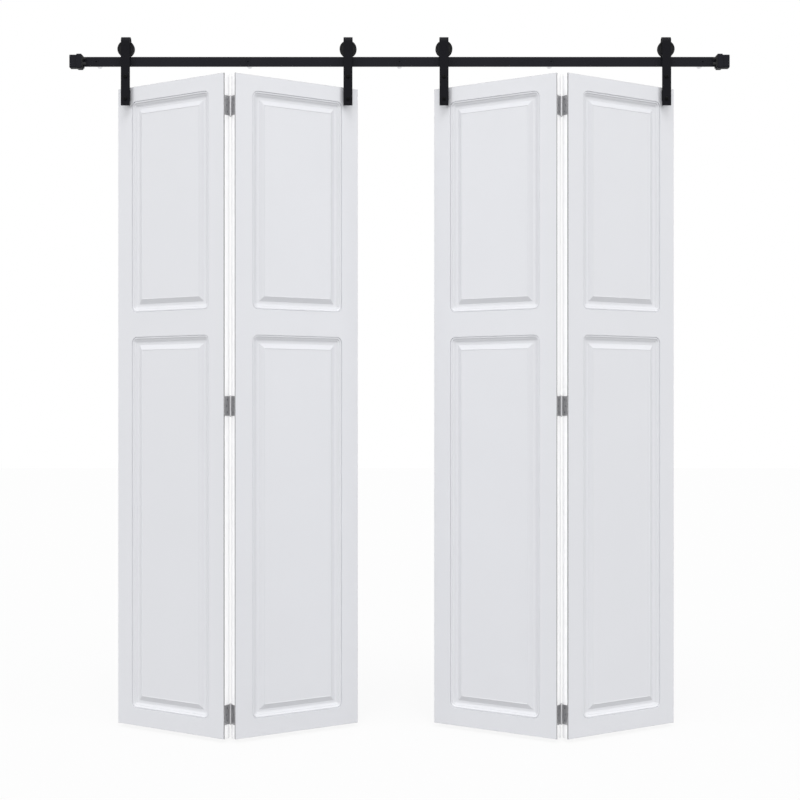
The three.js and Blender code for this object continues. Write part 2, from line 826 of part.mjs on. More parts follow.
function bifoldPair(pairName, outerHand) {
  const pair = new THREE.Group();
  for (const hand of ['left', 'right']) {
    const place = hand === outerHand ? 'outer' : 'inner';
    pair.add(hangerAndLeaf(`${pairName}_${place}`, pairName, hand));
  }
  return pair;
}

function track() {
  const group = new THREE.Group();
  group.add(piece('rail', rail(), blackCoat));
  const stops = handed(endStop());
  const bumpers = handed(bumper());
  for (const hand of ['left', 'right']) {
    group.add(piece(`${hand}_end_stop`, stops[hand], blackCoat));
    group.add(piece(`${hand}_bumper`, bumpers[hand], blackRubber));
  }
  spacerPlaces().forEach((x, i) => {
    const spacer = piece(`wall_spacer_${i + 1}`, spacerWithLagBolt(), zincPlate);
    spacer.position.x = x;
    group.add(spacer);
  });
  return group;
}

const door = new THREE.Group();
const leftPair = bifoldPair('left', 'left');
const rightPair = bifoldPair('right', 'right');
leftPair.position.x = pairsOffset - pairSpacing / 2;
rightPair.position.x = pairsOffset + pairSpacing / 2;
door.add(track(), leftPair, rightPair);
door.position.y = railCentreY;

export default door;
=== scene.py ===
"""Looks of the bifold closet door. Metres, +Z up, the front faces -Y and the wall is y = 0."""

import json
import math

import bmesh
import bpy
from mathutils import Matrix, Vector


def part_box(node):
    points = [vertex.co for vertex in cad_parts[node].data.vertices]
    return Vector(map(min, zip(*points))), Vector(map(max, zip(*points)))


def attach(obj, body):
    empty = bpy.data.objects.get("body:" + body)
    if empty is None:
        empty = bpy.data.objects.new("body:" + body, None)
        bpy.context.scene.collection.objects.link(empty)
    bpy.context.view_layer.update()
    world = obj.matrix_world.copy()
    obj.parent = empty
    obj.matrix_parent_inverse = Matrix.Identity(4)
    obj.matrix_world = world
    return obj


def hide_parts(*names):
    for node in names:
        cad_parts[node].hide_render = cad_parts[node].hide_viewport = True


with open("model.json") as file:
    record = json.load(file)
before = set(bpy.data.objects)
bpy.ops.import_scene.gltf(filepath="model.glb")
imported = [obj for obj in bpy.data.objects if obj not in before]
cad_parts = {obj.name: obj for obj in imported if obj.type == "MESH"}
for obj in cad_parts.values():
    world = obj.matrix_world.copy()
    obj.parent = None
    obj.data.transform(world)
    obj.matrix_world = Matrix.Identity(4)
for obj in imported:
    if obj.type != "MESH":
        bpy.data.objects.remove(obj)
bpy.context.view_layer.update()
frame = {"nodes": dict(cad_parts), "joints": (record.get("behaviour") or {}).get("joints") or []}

MM = 0.001
SEAT_GAP = 0.3 * MM
RUNNING_GAP = 0.3 * MM
OVERRUN = 1 * MM
WELD_DISTANCE = 1e-6

# Leaf
LEAF_WIDTH = 457.2 * MM
LEAF_THICKNESS = 28.6 * MM
LEAF_JOINT = 1.5 * MM
SKIN_THICKNESS = 3.2 * MM
SKIN_EASE = 0.8 * MM

# Panels and their moulding
STILE_WIDTH = 62 * MM
TOP_RAIL_HEIGHT = 48.9 * MM
UPPER_PANEL_HEIGHT = 705.5 * MM
LOCK_RAIL_HEIGHT = 82.2 * MM
BOTTOM_RAIL_HEIGHT = 57.1 * MM
OPENING_CORNER_RADIUS = 20 * MM
QUIRK_WIDTH = 0.9 * MM
QUIRK_DEPTH = 3 * MM
QUIRK_FLOOR_START = QUIRK_WIDTH * 0.8
QUIRK_FLOOR_END = QUIRK_WIDTH * 1.4
QUIRK_END = QUIRK_WIDTH * 2.3
BEAD_WIDTH = 4.6 * MM
BEAD_DEPTH = 1.4 * MM
STEP_WIDTH = 3.2 * MM
STEP_DEPTH = 4.4 * MM
SHELF_WIDTH = 3.3 * MM
SHELF_DEPTH = 4.9 * MM
COVE_WIDTH = 6 * MM
VALLEY_WIDTH = 9 * MM
BEVEL_WIDTH = 16.5 * MM
BEVEL_DEPTH = 1 * MM
FILLET_WIDTH = 2.5 * MM
FIELD_DEPTH = 1.8 * MM
CREASE_WIDTH = 1.4 * MM
MOULDING_SOFTENING = 0.4 * MM
CORE_WEB = 4.6 * MM
SHEET_BEND = 1.6 * MM
VALLEY_START = QUIRK_WIDTH + BEAD_WIDTH + STEP_WIDTH + SHELF_WIDTH + COVE_WIDTH
VALLEY_END = VALLEY_START + VALLEY_WIDTH
VALLEY_DEPTH = (LEAF_THICKNESS - CORE_WEB) / 2 - SKIN_THICKNESS - SEAT_GAP
FRAME_SETBACK = 10 * MM
TIMBER_EASE = 0.35 * MM

# Butt hinges
PLATE_HEIGHT = 63 * MM
PLATE_THICKNESS = 2.2 * MM
PLATE_BEHIND_SKIN = 1.4 * MM
PLATE_WIDTH = LEAF_THICKNESS - SKIN_THICKNESS - PLATE_BEHIND_SKIN
PLATE_CORNER_RADIUS = 3 * MM
PLATE_EASE = 0.25 * MM
KNUCKLE_RADIUS = 3.9 * MM
KNUCKLE_EASE = 0.4 * MM
KNUCKLE_COUNT = 3
HINGE_FROM_BACK = KNUCKLE_RADIUS + SEAT_GAP
PIN_RADIUS = 1.9 * MM
PIN_TIP_RADIUS = 2.8 * MM
PIN_TIP_HEIGHT = 3.6 * MM
PIN_TIP_RIM = 0.9 * MM
TOP_HINGE_DROP = 101.7 * MM
BOTTOM_HINGE_RISE = 76.1 * MM
PLATE_SCREW_RADIUS = 3.4 * MM
PLATE_SCREW_PITCH = 20 * MM
PLATE_SCREW_STAGGER = 2 * MM
PLATE_SCREW_SINK = 0.35 * MM
SCREW_SEAT_DEPTH = 1.6 * MM

# Countersunk screws, with shares of the head's radius, depth and rise
SCREW_HEAD_DEPTH = 1.5 * MM
SCREW_HEAD_RISE = 0.25 * MM
SCREW_SHANK_SHARE = 0.45
SCREW_CROWN_SHARE = 0.7
RECESS_WIDTH_SHARE = 0.13
RECESS_REACH_SHARE = 0.6

# Rail, spacers and lag bolts
RAIL_ABOVE_LEAF = 70.7 * MM
RAIL_EASE = 0.5 * MM
SPACER_COUNT = 5
SPACER_LENGTH = 57 * MM
SPACER_RADIUS = 9.5 * MM
SPACER_EASE = 0.6 * MM
LAG_BOLT_RADIUS = 4 * MM
LAG_BOLT_SETBACK = 1 * MM
LAG_HEAD_RADIUS = 8.5 * MM
LAG_HEAD_DEPTH = 4 * MM
LAG_HEAD_SINK = 0.2 * MM
LAG_HEAD_EASE = 0.3 * MM
LAG_SOCKET_RADIUS = 3 * MM
LAG_SOCKET_DEPTH = 2.4 * MM

# Wheel and axle
WHEEL_RADIUS = 28.5 * MM
GROOVE_DEPTH = 2.5 * MM
GROOVE_SLOPE = 1.4 * MM
FLANGE_WIDTH = 3 * MM
HUB_RADIUS = 10 * MM
RIM_CHAMFER = 1.5 * MM
DISH_DEPTH = 0.9 * MM
DISH_RADIUS = 22 * MM
WHEEL_SOFTENING = 0.5 * MM
AXLE_RADIUS = 6 * MM
AXLE_TIP_SETBACK = 0.6 * MM
AXLE_TIP_CHAMFER = 0.8 * MM
AXLE_HEAD_RADIUS = 9.5 * MM
AXLE_HEAD_DEPTH = 3.5 * MM
AXLE_NUT_RADIUS = 10 * MM
AXLE_NUT_HEIGHT = 6.5 * MM
AXLE_NUT_EASE = 0.8 * MM
AXLE_NUT_GAP = 0.1 * MM

# Hanger strap and its bolts
STRAP_WIDTH = 30 * MM
STRAP_THICKNESS = 5 * MM
STRAP_OVER_WHEEL = 6.5 * MM
STRAP_BESIDE_WHEEL = 4 * MM
STRAP_BELOW_LEAF_TOP = 61.9 * MM
REAR_LEG_DROP = 21 * MM
STRAP_EASE = 0.5 * MM
STRAP_BOLT_RISE = 34.2 * MM
STRAP_BOLT_DROP = 39.6 * MM
STRAP_BOLT_RADIUS = 4 * MM
STRAP_BOLT_HEAD_RADIUS = 6.5 * MM
STRAP_BOLT_HEAD_HEIGHT = 4 * MM
STRAP_BOLT_HEAD_DROP = 0.4 * MM
STRAP_BOLT_HEAD_RIM = 0.6 * MM
BOLT_SOCKET_RADIUS = 2.9 * MM
BOLT_SOCKET_DEPTH = 2.6 * MM

# Swivel hinge behind the strap
SWIVEL_FROM_STRAP_EDGE = 4 * MM
SWIVEL_FROM_LEAF_END = 54 * MM
SWIVEL_KNUCKLE_RADIUS = 4.2 * MM
SWIVEL_KNUCKLE_GAP = 0.8 * MM
SWIVEL_PIN_RADIUS = 2 * MM
SWIVEL_PLATE_THICKNESS = 2 * MM
SWIVEL_PLATE_SET_IN = 2.5 * MM
SWIVEL_PLATE_MARGIN = 12 * MM
SWIVEL_PLATE_CORNER = 3 * MM
SWIVEL_BARREL_HEIGHT = 36 * MM
SWIVEL_BARREL_DROP = 10 * MM
SWIVEL_KNUCKLE_COUNT = 3
SWIVEL_SCREW_RADIUS = 3.2 * MM
SWIVEL_SCREW_OFFSET = 2 * MM
SWIVEL_SCREW_SHARES = (0.25, 0.75)

# End stops and bumpers
STOP_BLOCK_LENGTH = 24 * MM
STOP_COLLAR_LENGTH = 17.5 * MM
STOP_END_WALL = 5 * MM
STOP_COVER = 5.8 * MM
STOP_CHEEK = 11 * MM
COLLAR_RISE = 2.3 * MM
COLLAR_PROUD = 4 * MM
STOP_CORNER_RADIUS = 4 * MM
STOP_EASE = 2.2 * MM
STOP_HOLE_RADIUS = 3.5 * MM
STOP_HOLE_DEPTH = 2.5 * MM
STOP_SCREW_GAP = 0.15 * MM
STOP_SCREW_SINK = 0.8 * MM
STOP_SCREW_EASE = 0.4 * MM
STOP_SCREW_LENGTH = 2.2 * MM
STOP_SOCKET_DEPTH = 1.2 * MM
BUMPER_PAD_THICKNESS = 3 * MM
BUMPER_PAD_COVER = 3.3 * MM
BUMPER_PAD_EASE = 0.7 * MM
BUMPER_STUD_RADIUS = 4.5 * MM
BUMPER_STUD_LENGTH = 12 * MM
BUMPER_STUD_OFFSET = 9 * MM
BUMPER_STUD_DOME = 2.4 * MM

# Facets of curves, and shading
ROUND_SIDES = 40
WHEEL_SIDES = 96
CORNER_SIDES = 8
BEND_SIDES = 48
CURVE_SIDES = 6
HEX_SIDES = 6
SOFT_SIDES = 3
EASED_ANGLE = 35
ROUNDED_BAR_ANGLE = 60
SMOOTH_ANGLE = 40
FLAT_FACE_WEIGHT = 100

# Camera
CAMERA_DISTANCE = 4.8
RAIL_MM_PER_PIXEL = 3.3525
PICTURE_PIXELS = 800
HORIZON_PIXEL = 406
DOORS_MIDDLE_PIXEL = 396
SENSOR_WIDTH = 36

# Studio. Each sun has its azimuth from the front towards +X, its elevation and its strength
FLOOR_CLEARANCE = 12 * MM
FLOOR_SIZE = 40
FLOOR_SEEN = (214, 214, 214)
FLOOR_BOUNCE = (150, 150, 150)
FLOOR_GLOW = 0.88
WORLD_STRENGTH = 0.8
SUN_ANGLE = 30
SUNS = {
    "top_light": (0, 60, 1.3),
    "front_light": (0, 15, 0.3),
    "left_light": (-60, 15, 0.7),
    "right_light": (60, 15, 0.7),
}

# Taken from the frame and from the values above
JOINTS = {joint["name"]: joint for joint in frame["joints"]}
REST_FOLD = -math.radians(JOINTS["left_fold"]["range_deg"][0])
LEAF_LOW, LEAF_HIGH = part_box("left_outer_frame")
LEAF_TOP = LEAF_HIGH.z
LEAF_HEIGHT = LEAF_HIGH.z - LEAF_LOW.z
RAIL_LOW, RAIL_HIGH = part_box("rail")
RAIL_Y = (RAIL_LOW.y + RAIL_HIGH.y) / 2
RAIL_HEIGHT = RAIL_HIGH.z - RAIL_LOW.z
RAIL_THICKNESS = RAIL_HIGH.y - RAIL_LOW.y
LEAF_NEAR = -SWIVEL_FROM_LEAF_END
LEAF_FAR = LEAF_WIDTH - SWIVEL_FROM_LEAF_END
LEAF_FRONT = SWIVEL_KNUCKLE_RADIUS + SWIVEL_KNUCKLE_GAP
LEAF_BACK = LEAF_FRONT + LEAF_THICKNESS
GROOVE_FLOOR_HALF = RAIL_THICKNESS / 2 + RUNNING_GAP * 2
GROOVE_MOUTH_HALF = GROOVE_FLOOR_HALF + GROOVE_SLOPE
WHEEL_HALF_WIDTH = GROOVE_MOUTH_HALF + FLANGE_WIDTH
STRAP_INNER = WHEEL_HALF_WIDTH + STRAP_BESIDE_WHEEL
STRAP_OUTER = STRAP_INNER + STRAP_THICKNESS
STRAP_X = SWIVEL_FROM_STRAP_EDGE - STRAP_WIDTH / 2
STRAP_Y = STRAP_INNER - LEAF_FRONT
ROLL_RADIUS = WHEEL_RADIUS - GROOVE_DEPTH
AXLE_HEIGHT = RAIL_ABOVE_LEAF + RAIL_HEIGHT + RUNNING_GAP + ROLL_RADIUS
STOP_SCREW_HEIGHTS = (-RAIL_HEIGHT / 4, RAIL_HEIGHT / 4)
HINGE_HEIGHTS = {
    "top": -TOP_HINGE_DROP,
    "middle": -LEAF_HEIGHT / 2,
    "bottom": -LEAF_HEIGHT + BOTTOM_HINGE_RISE,
}


# Materials


class Shader:
    """A node material that is built up in a few calls."""

    def __init__(self, name, color, roughness, metallic=0.0, specular=0.5):
        self.material = bpy.data.materials.new(name)
        self.material.use_nodes = True
        self.tree = self.material.node_tree
        self.surface = self.tree.nodes["Principled BSDF"]
        self.surface.inputs["Roughness"].default_value = roughness
        self.surface.inputs["Metallic"].default_value = metallic
        self.surface.inputs["Specular IOR Level"].default_value = specular
        self.color = (*linear(color), 1)
        self.surface.inputs["Base Color"].default_value = self.color
        self.place = self.tree.nodes.new("ShaderNodeTexCoord").outputs["Object"]

    def node(self, kind, **settings):
        made = self.tree.nodes.new(kind)
        for name, value in settings.items():
            setattr(made, name, value)
        return made

    def link(self, source, target):
        self.tree.links.new(source, target)

    def noise(self, scale, detail=2, stretch=(1, 1, 1)):
        mapping = self.node("ShaderNodeMapping")
        mapping.inputs["Scale"].default_value = stretch
        self.link(self.place, mapping.inputs["Vector"])
        made = self.node("ShaderNodeTexNoise")
        made.inputs["Scale"].default_value = scale
        made.inputs["Detail"].default_value = detail
        self.link(mapping.outputs["Vector"], made.inputs["Vector"])
        return made.outputs["Fac"]

    def tint(self, source, dark, light):
        """The colour, shaded between two shares of itself."""
        mix = self.node("ShaderNodeMix", data_type="RGBA")
        self.link(source, mix.inputs["Factor"])
        mix.inputs["A"].default_value = (*(c * dark for c in self.color[:3]), 1)
        mix.inputs["B"].default_value = (*(c * light for c in self.color[:3]), 1)
        self.link(mix.outputs["Result"], self.surface.inputs["Base Color"])
        return self

    def rough(self, source, low, high):
        """The roughness, from low to high as the source goes from 0 to 1."""
        spread = self.node("ShaderNodeMapRange")
        spread.inputs["To Min"].default_value = low
        spread.inputs["To Max"].default_value = high
        self.link(source, spread.inputs["Value"])
        self.link(spread.outputs["Result"], self.surface.inputs["Roughness"])
        return self

    def bump(self, source, height, strength):
        made = self.node("ShaderNodeBump")
        made.inputs["Distance"].default_value = height
        made.inputs["Strength"].default_value = strength
        self.link(source, made.inputs["Height"])
        self.link(made.outputs["Normal"], self.surface.inputs["Normal"])
        return self


def linear(srgb):
    """An sRGB colour of 0 to 255 as linear values."""
    shares = [c / 255 for c in srgb]
    return [c / 12.92 if c <= 0.04045 else ((c + 0.055) / 1.055) ** 2.4 for c in shares]


def satin_white(name, color):
    shader = Shader(name, color, roughness=0.42)
    shader.tint(shader.noise(scale=6, detail=3), dark=0.985, light=1.01)
    shader.rough(shader.noise(scale=35, detail=4), low=0.36, high=0.5)
    return shader.bump(shader.noise(scale=900), height=0.05 * MM, strength=0.5).material


def timber_edge(name, color):
    shader = Shader(name, color, roughness=0.55)
    grain = shader.noise(scale=220, detail=4, stretch=(1, 1, 0.03))
    shader.tint(grain, dark=0.975, light=1.01)
    return shader.bump(grain, height=0.08 * MM, strength=0.4).material


def pressed_board(name, color):
    shader = Shader(name, color, roughness=0.8)
    fibre = shader.noise(scale=1600, detail=4)
    shader.tint(fibre, dark=0.85, light=1.12)
    return shader.bump(fibre, height=0.1 * MM, strength=0.5).material


def paper(name, color):
    shader = Shader(name, color, roughness=0.9)
    fibre = shader.noise(scale=700, detail=5, stretch=(1, 1, 4))
    shader.tint(fibre, dark=0.85, light=1.1)
    return shader.bump(fibre, height=0.1 * MM, strength=0.6).material


def powder_coat(name, color):
    shader = Shader(name, color, roughness=0.5, specular=0.1)
    grain = shader.noise(scale=1500, detail=3)
    shader.tint(shader.noise(scale=18, detail=3), dark=0.9, light=1.15)
    shader.rough(grain, low=0.42, high=0.62)
    return shader.bump(grain, height=0.06 * MM, strength=0.6).material


def moulded_nylon(name, color):
    shader = Shader(name, color, roughness=0.45, specular=0.2)
    shader.tint(shader.noise(scale=60, detail=3), dark=0.9, light=1.15)
    shader.rough(shader.noise(scale=300, detail=3), low=0.38, high=0.55)
    return shader.bump(shader.noise(scale=2200), height=0.03 * MM, strength=0.5).material


def rubber(name, color):
    shader = Shader(name, color, roughness=0.85)
    grain = shader.noise(scale=1800, detail=4)
    shader.tint(grain, dark=0.8, light=1.25)
    return shader.bump(grain, height=0.08 * MM, strength=0.6).material


def zinc_plate(name, color):
    shader = Shader(name, color, roughness=0.34, metallic=0.9)
    lines = shader.noise(scale=120, detail=4, stretch=(1, 1, 14))
    shader.tint(lines, dark=0.88, light=1.08)
    shader.rough(lines, low=0.28, high=0.44)
    return shader.bump(lines, height=0.02 * MM, strength=0.4).material


def black_oxide(name, color):
    shader = Shader(name, color, roughness=0.38, specular=0.1)
    grain = shader.noise(scale=900, detail=3)
    shader.tint(grain, dark=0.85, light=1.3)
    return shader.rough(grain, low=0.3, high=0.5).material


LEAF_WHITE = satin_white("leaf_white", (214, 215, 219))
# Edge white: a brighter white than the faces' paint. It is partly painted light, so the hinge edges
# in the V read near white.
EDGE_WHITE_AND_LIGHT = timber_edge("edge_white_and_painted_light", (250, 250, 251))
# Dark board colour for the front skins' rims. It is partly the raw board edge and partly painted
# shade along the leaf edges.
RIM_BOARD_AND_SHADE = pressed_board("rim_board_and_painted_shade", (48, 47, 50))
CORE_PAPER = paper("core_paper", (184, 155, 114))
BLACK_COAT = powder_coat("black_coat", (22, 22, 28))
STRAP_COAT = powder_coat("strap_coat", (10, 10, 16))
WHEEL_BLACK = moulded_nylon("wheel_black", (9, 9, 13))
BUMPER_BLACK = rubber("bumper_black", (18, 18, 20))
HINGE_ZINC = zinc_plate("hinge_zinc", (178, 178, 180))
# A brighter copy of the hinge zinc for the barrels: painted highlight.
BARREL_ZINC_HIGHLIGHT = zinc_plate("barrel_zinc_painted_highlight", (206, 206, 208))
SCREW_ZINC = zinc_plate("screw_zinc", (150, 150, 154))
SLEEVE_ZINC = zinc_plate("sleeve_zinc", (240, 240, 242))
BOLT_BLACK = black_oxide("bolt_black", (3, 3, 4))
BUTT_HINGE_LOOKS = {"blade": HINGE_ZINC, "barrel": BARREL_ZINC_HIGHLIGHT, "screws": SCREW_ZINC}


# Meshes


def revolved(profile, sides=ROUND_SIDES):
    """A bmesh of (radius, height) points turned about the Z axis. The ends lie on the axis, or the
    profile closes on itself."""
    bm = bmesh.new()
    angles = [math.tau * i / sides for i in range(sides)]
    rings = []
    for radius, height in profile:
        if radius == 0:
            rings.append([bm.verts.new((0, 0, height))] * sides)
            continue
        rings.append([
            bm.verts.new((radius * math.cos(a), radius * math.sin(a), height)) for a in angles
        ])
    for low, high in zip(rings, rings[1:]):
        for i in range(sides):
            j = (i + 1) % sides
            corners = dict.fromkeys([low[i], low[j], high[j], high[i]])
            if len(corners) > 2:
                bm.faces.new(corners)
    return cleaned(bm)


def cylinder(radius, z0, z1):
    return revolved([(0, z0), (radius, z0), (radius, z1), (0, z1)])


def tube(radius, bore, z0, z1, ease):
    """A tube with its outer edges eased."""
    return revolved([
        (bore, z0), (radius - ease, z0), (radius, z0 + ease),
        (radius, z1 - ease), (radius - ease, z1), (bore, z1), (bore, z0),
    ])


def prism(outline, z0, z1):
    """A bmesh of an outline in X and Y, from z0 to z1."""
    bm = bmesh.new()
    low = [bm.verts.new((x, y, z0)) for x, y in outline]
    high = [bm.verts.new((x, y, z1)) for x, y in outline]
    bm.faces.new(reversed(low))
    bm.faces.new(high)
    for i in range(len(outline)):
        j = (i + 1) % len(outline)
        bm.faces.new((low[i], low[j], high[j], high[i]))
    return cleaned(bm)


def block(x0, x1, y0, y1, z0, z1):
    return prism([(x0, y0), (x1, y0), (x1, y1), (x0, y1)], z0, z1)


def cleaned(bm):
    bmesh.ops.remove_doubles(bm, verts=bm.verts, dist=WELD_DISTANCE)
    bmesh.ops.recalc_face_normals(bm, faces=bm.faces)
    return bm


def moved(bm, matrix):
    """The bmesh under a matrix, with its faces still pointing out where the matrix mirrors it."""
    bm.transform(matrix)
    if matrix.determinant() < 0:
        bmesh.ops.reverse_faces(bm, faces=bm.faces)
    return bm


def merged(*parts):
    """Several bmeshes as one, side by side."""
    whole = bmesh.new()
    for part in parts:
        mesh = bpy.data.meshes.new("part")
        part.to_mesh(mesh)
        part.free()
        whole.from_mesh(mesh)
        bpy.data.meshes.remove(mesh)
    return whole


# How pieces that are drawn along Z are turned, with where each axis goes
ALONG_X = Matrix(((0, 0, 1, 0), (1, 0, 0, 0), (0, 1, 0, 0), (0, 0, 0, 1)))  # X to Y, Y to Z, Z to X
ALONG_Y = Matrix(((0, 1, 0, 0), (0, 0, 1, 0), (1, 0, 0, 0), (0, 0, 0, 1)))  # X to Z, Y to X, Z to Y
FACING_Y = Matrix(((1, 0, 0, 0), (0, 0, 1, 0), (0, 1, 0, 0), (0, 0, 0, 1)))  # Y to Z, Z to Y
FACING_FRONT = Matrix(((1, 0, 0, 0), (0, 0, -1, 0), (0, 1, 0, 0), (0, 0, 0, 1)))  # Y to Z, Z to -Y
HALF_TURN = Matrix.Rotation(math.pi, 4, "Z")
MIRROR = Matrix.Scale(-1, 4, (1, 0, 0))


def arc(x, y, radius, start, end, sides=CORNER_SIDES):
    """Points of an arc, with angles in degrees."""
    angles = [math.radians(start + (end - start) * i / sides) for i in range(sides + 1)]
    return [(x + radius * math.cos(a), y + radius * math.sin(a)) for a in angles]


def rounded_rectangle(x0, x1, y0, y1, radius):
    return [
        *arc(x1 - radius, y0 + radius, radius, -90, 0),
        *arc(x1 - radius, y1 - radius, radius, 0, 90),
        *arc(x0 + radius, y1 - radius, radius, 90, 180),
        *arc(x0 + radius, y0 + radius, radius, 180, 270),
    ]


def softened(points, radius):
    """A line of points with its inner corners rounded."""
    points = [Vector(p) for p in points]
    line = [points[0]]
    for before, corner, after in zip(points, points[1:], points[2:]):
        cut = min(radius, (corner - before).length / 2, (after - corner).length / 2)
        start = corner + (before - corner).normalized() * cut
        end = corner + (after - corner).normalized() * cut
        line += [start, *curve(start, corner, end, SOFT_SIDES)]
    return [*line, points[-1]]


def curve(start, control, end, sides=CURVE_SIDES):
    """Points of a quadratic curve, without its first."""
    start, control, end = Vector(start), Vector(control), Vector(end)
    steps = [i / sides for i in range(1, sides + 1)]
    return [start.lerp(control, t).lerp(control.lerp(end, t), t) for t in steps]


def make_object(name, bm, *materials):
    mesh = bpy.data.meshes.new(name)
    bm.to_mesh(mesh)
    bm.free()
    for material in materials:
        mesh.materials.append(material)
    obj = bpy.data.objects.new(name, mesh)
    bpy.context.scene.collection.objects.link(obj)
    return obj


def taken(obj):
    """An object's mesh as a bmesh. The object is removed."""
    bm = bmesh.new()
    bm.from_mesh(obj.data)
    bpy.data.objects.remove(obj)
    return bm


def applied(obj):
    """Turns an object's modifiers into its mesh."""
    depsgraph = bpy.context.evaluated_depsgraph_get()
    mesh = bpy.data.meshes.new_from_object(obj.evaluated_get(depsgraph))
    obj.modifiers.clear()
    obj.data = mesh
    return obj


def combined(obj, operation, *tools):
    """An object after a boolean operation with bmesh tools, one by one."""
    for tool in tools:
        other = make_object("tool", tool)
        modifier = obj.modifiers.new("boolean", "BOOLEAN")
        modifier.operation = operation
        modifier.solver = "EXACT"
        modifier.object = other
        applied(obj)
        bpy.data.objects.remove(other)
    return obj


def carved(obj, *tools):
    return combined(obj, "DIFFERENCE", *tools)


def eased(obj, width, segments=3, angle=EASED_ANGLE):
    """Rounds an object's edges that are sharper than an angle."""
    bevel = obj.modifiers.new("ease", "BEVEL")
    bevel.width = width
    bevel.segments = segments
    bevel.limit_method = "ANGLE"
    bevel.angle_limit = math.radians(angle)
    bevel.miter_outer = "MITER_ARC"
    return applied(obj)


def smooth(obj):
    """Smooth shading that keeps flat faces flat. Seams and edges over an angle stay sharp."""
    obj.data.shade_smooth()
    obj.data.set_sharp_from_angle(angle=math.radians(SMOOTH_ANGLE))
    for edge in obj.data.edges:
        if edge.use_seam:
            edge.use_edge_sharp = True
    weigh = obj.modifiers.new("flats", "WEIGHTED_NORMAL")
    weigh.keep_sharp = True
    weigh.weight = FLAT_FACE_WEIGHT


def add_made(name, bm, place, body, slot, nodes, *materials):
    """Makes a bmesh an object that rides on a body, in the place of CAD nodes."""
    obj = make_object(name, moved(bm, place), *materials)
    smooth(obj)
    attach(obj, body)
    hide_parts(*nodes)


# Moulded skins


def panel_openings():
    upper_bottom = -TOP_RAIL_HEIGHT - UPPER_PANEL_HEIGHT
    x0 = LEAF_NEAR + STILE_WIDTH
    x1 = LEAF_FAR - STILE_WIDTH
    return [
        (x0, x1, upper_bottom, -TOP_RAIL_HEIGHT),
        (x0, x1, -LEAF_HEIGHT + BOTTOM_RAIL_HEIGHT, upper_bottom - LOCK_RAIL_HEIGHT),
    ]


def moulding_profile():
    """Inset from the opening's edge against depth from the face."""
    shelf_end = VALLEY_START - COVE_WIDTH
    step_end = shelf_end - SHELF_WIDTH
    bead_end = step_end - STEP_WIDTH
    valley_middle = (VALLEY_START + VALLEY_END) / 2
    crest = VALLEY_END + BEVEL_WIDTH
    cove_control = VALLEY_START - COVE_WIDTH / 3
    line = softened([
        (0, 0),
        (QUIRK_FLOOR_START, QUIRK_DEPTH),
        (QUIRK_FLOOR_END, QUIRK_DEPTH),
        (QUIRK_END, BEAD_DEPTH),
        (bead_end, BEAD_DEPTH),
        (step_end, STEP_DEPTH),
        (shelf_end, SHELF_DEPTH),
    ], MOULDING_SOFTENING)
    cove = curve(
        (shelf_end, SHELF_DEPTH), (cove_control, VALLEY_DEPTH), (valley_middle, VALLEY_DEPTH),
    )
    field = softened([
        (valley_middle, VALLEY_DEPTH),
        (VALLEY_END, VALLEY_DEPTH),
        (crest, BEVEL_DEPTH),
        (crest + CREASE_WIDTH, FIELD_DEPTH),
        (crest + FILLET_WIDTH, FIELD_DEPTH),
    ], MOULDING_SOFTENING)
    return [*line, *cove, *field[1:]]


def opening_loop(opening, inset, depth):
    """The corners stay rounded until the inset takes up their radius."""
    x0, x1, z0, z1 = opening
    radius = max(OPENING_CORNER_RADIUS - inset, 0)
    loop = rounded_rectangle(x0 + inset, x1 - inset, z0 + inset, z1 - inset, radius)
    return [(x, depth, z) for x, z in loop]


def neighbours(loop):
    return zip(loop, [*loop[1:], loop[0]])


def add_band(bm, outer, inner):
    """The faces between two loops with the same number of vertices."""
    return [
        bm.faces.new((a, b, d, c))
        for (a, b), (c, d) in zip(neighbours(outer), neighbours(inner))
    ]


def loop_edges(bm, loop):
    return [bm.edges.get(pair) or bm.edges.new(pair) for pair in neighbours(loop)]


def add_moulded_side(bm, outline, profile):
    """Fills a leaf's outline with a flat face and two moulded panels. The mitres are seams."""
    edges = loop_edges(bm, outline)
    for opening in panel_openings():
        loops = [
            [bm.verts.new(p) for p in opening_loop(opening, inset, depth)]
            for inset, depth in profile
        ]
        for (inset, _), outer, inner in zip(profile, loops, loops[1:]):
            add_band(bm, outer, inner)
            if inset >= OPENING_CORNER_RADIUS:
                for mitre in zip(outer, inner):
                    bm.edges.get(mitre).seam = True
        bm.faces.new(loops[-1])
        edges += loop_edges(bm, loops[0])
    bmesh.ops.triangle_fill(bm, edges=edges, use_beauty=True)


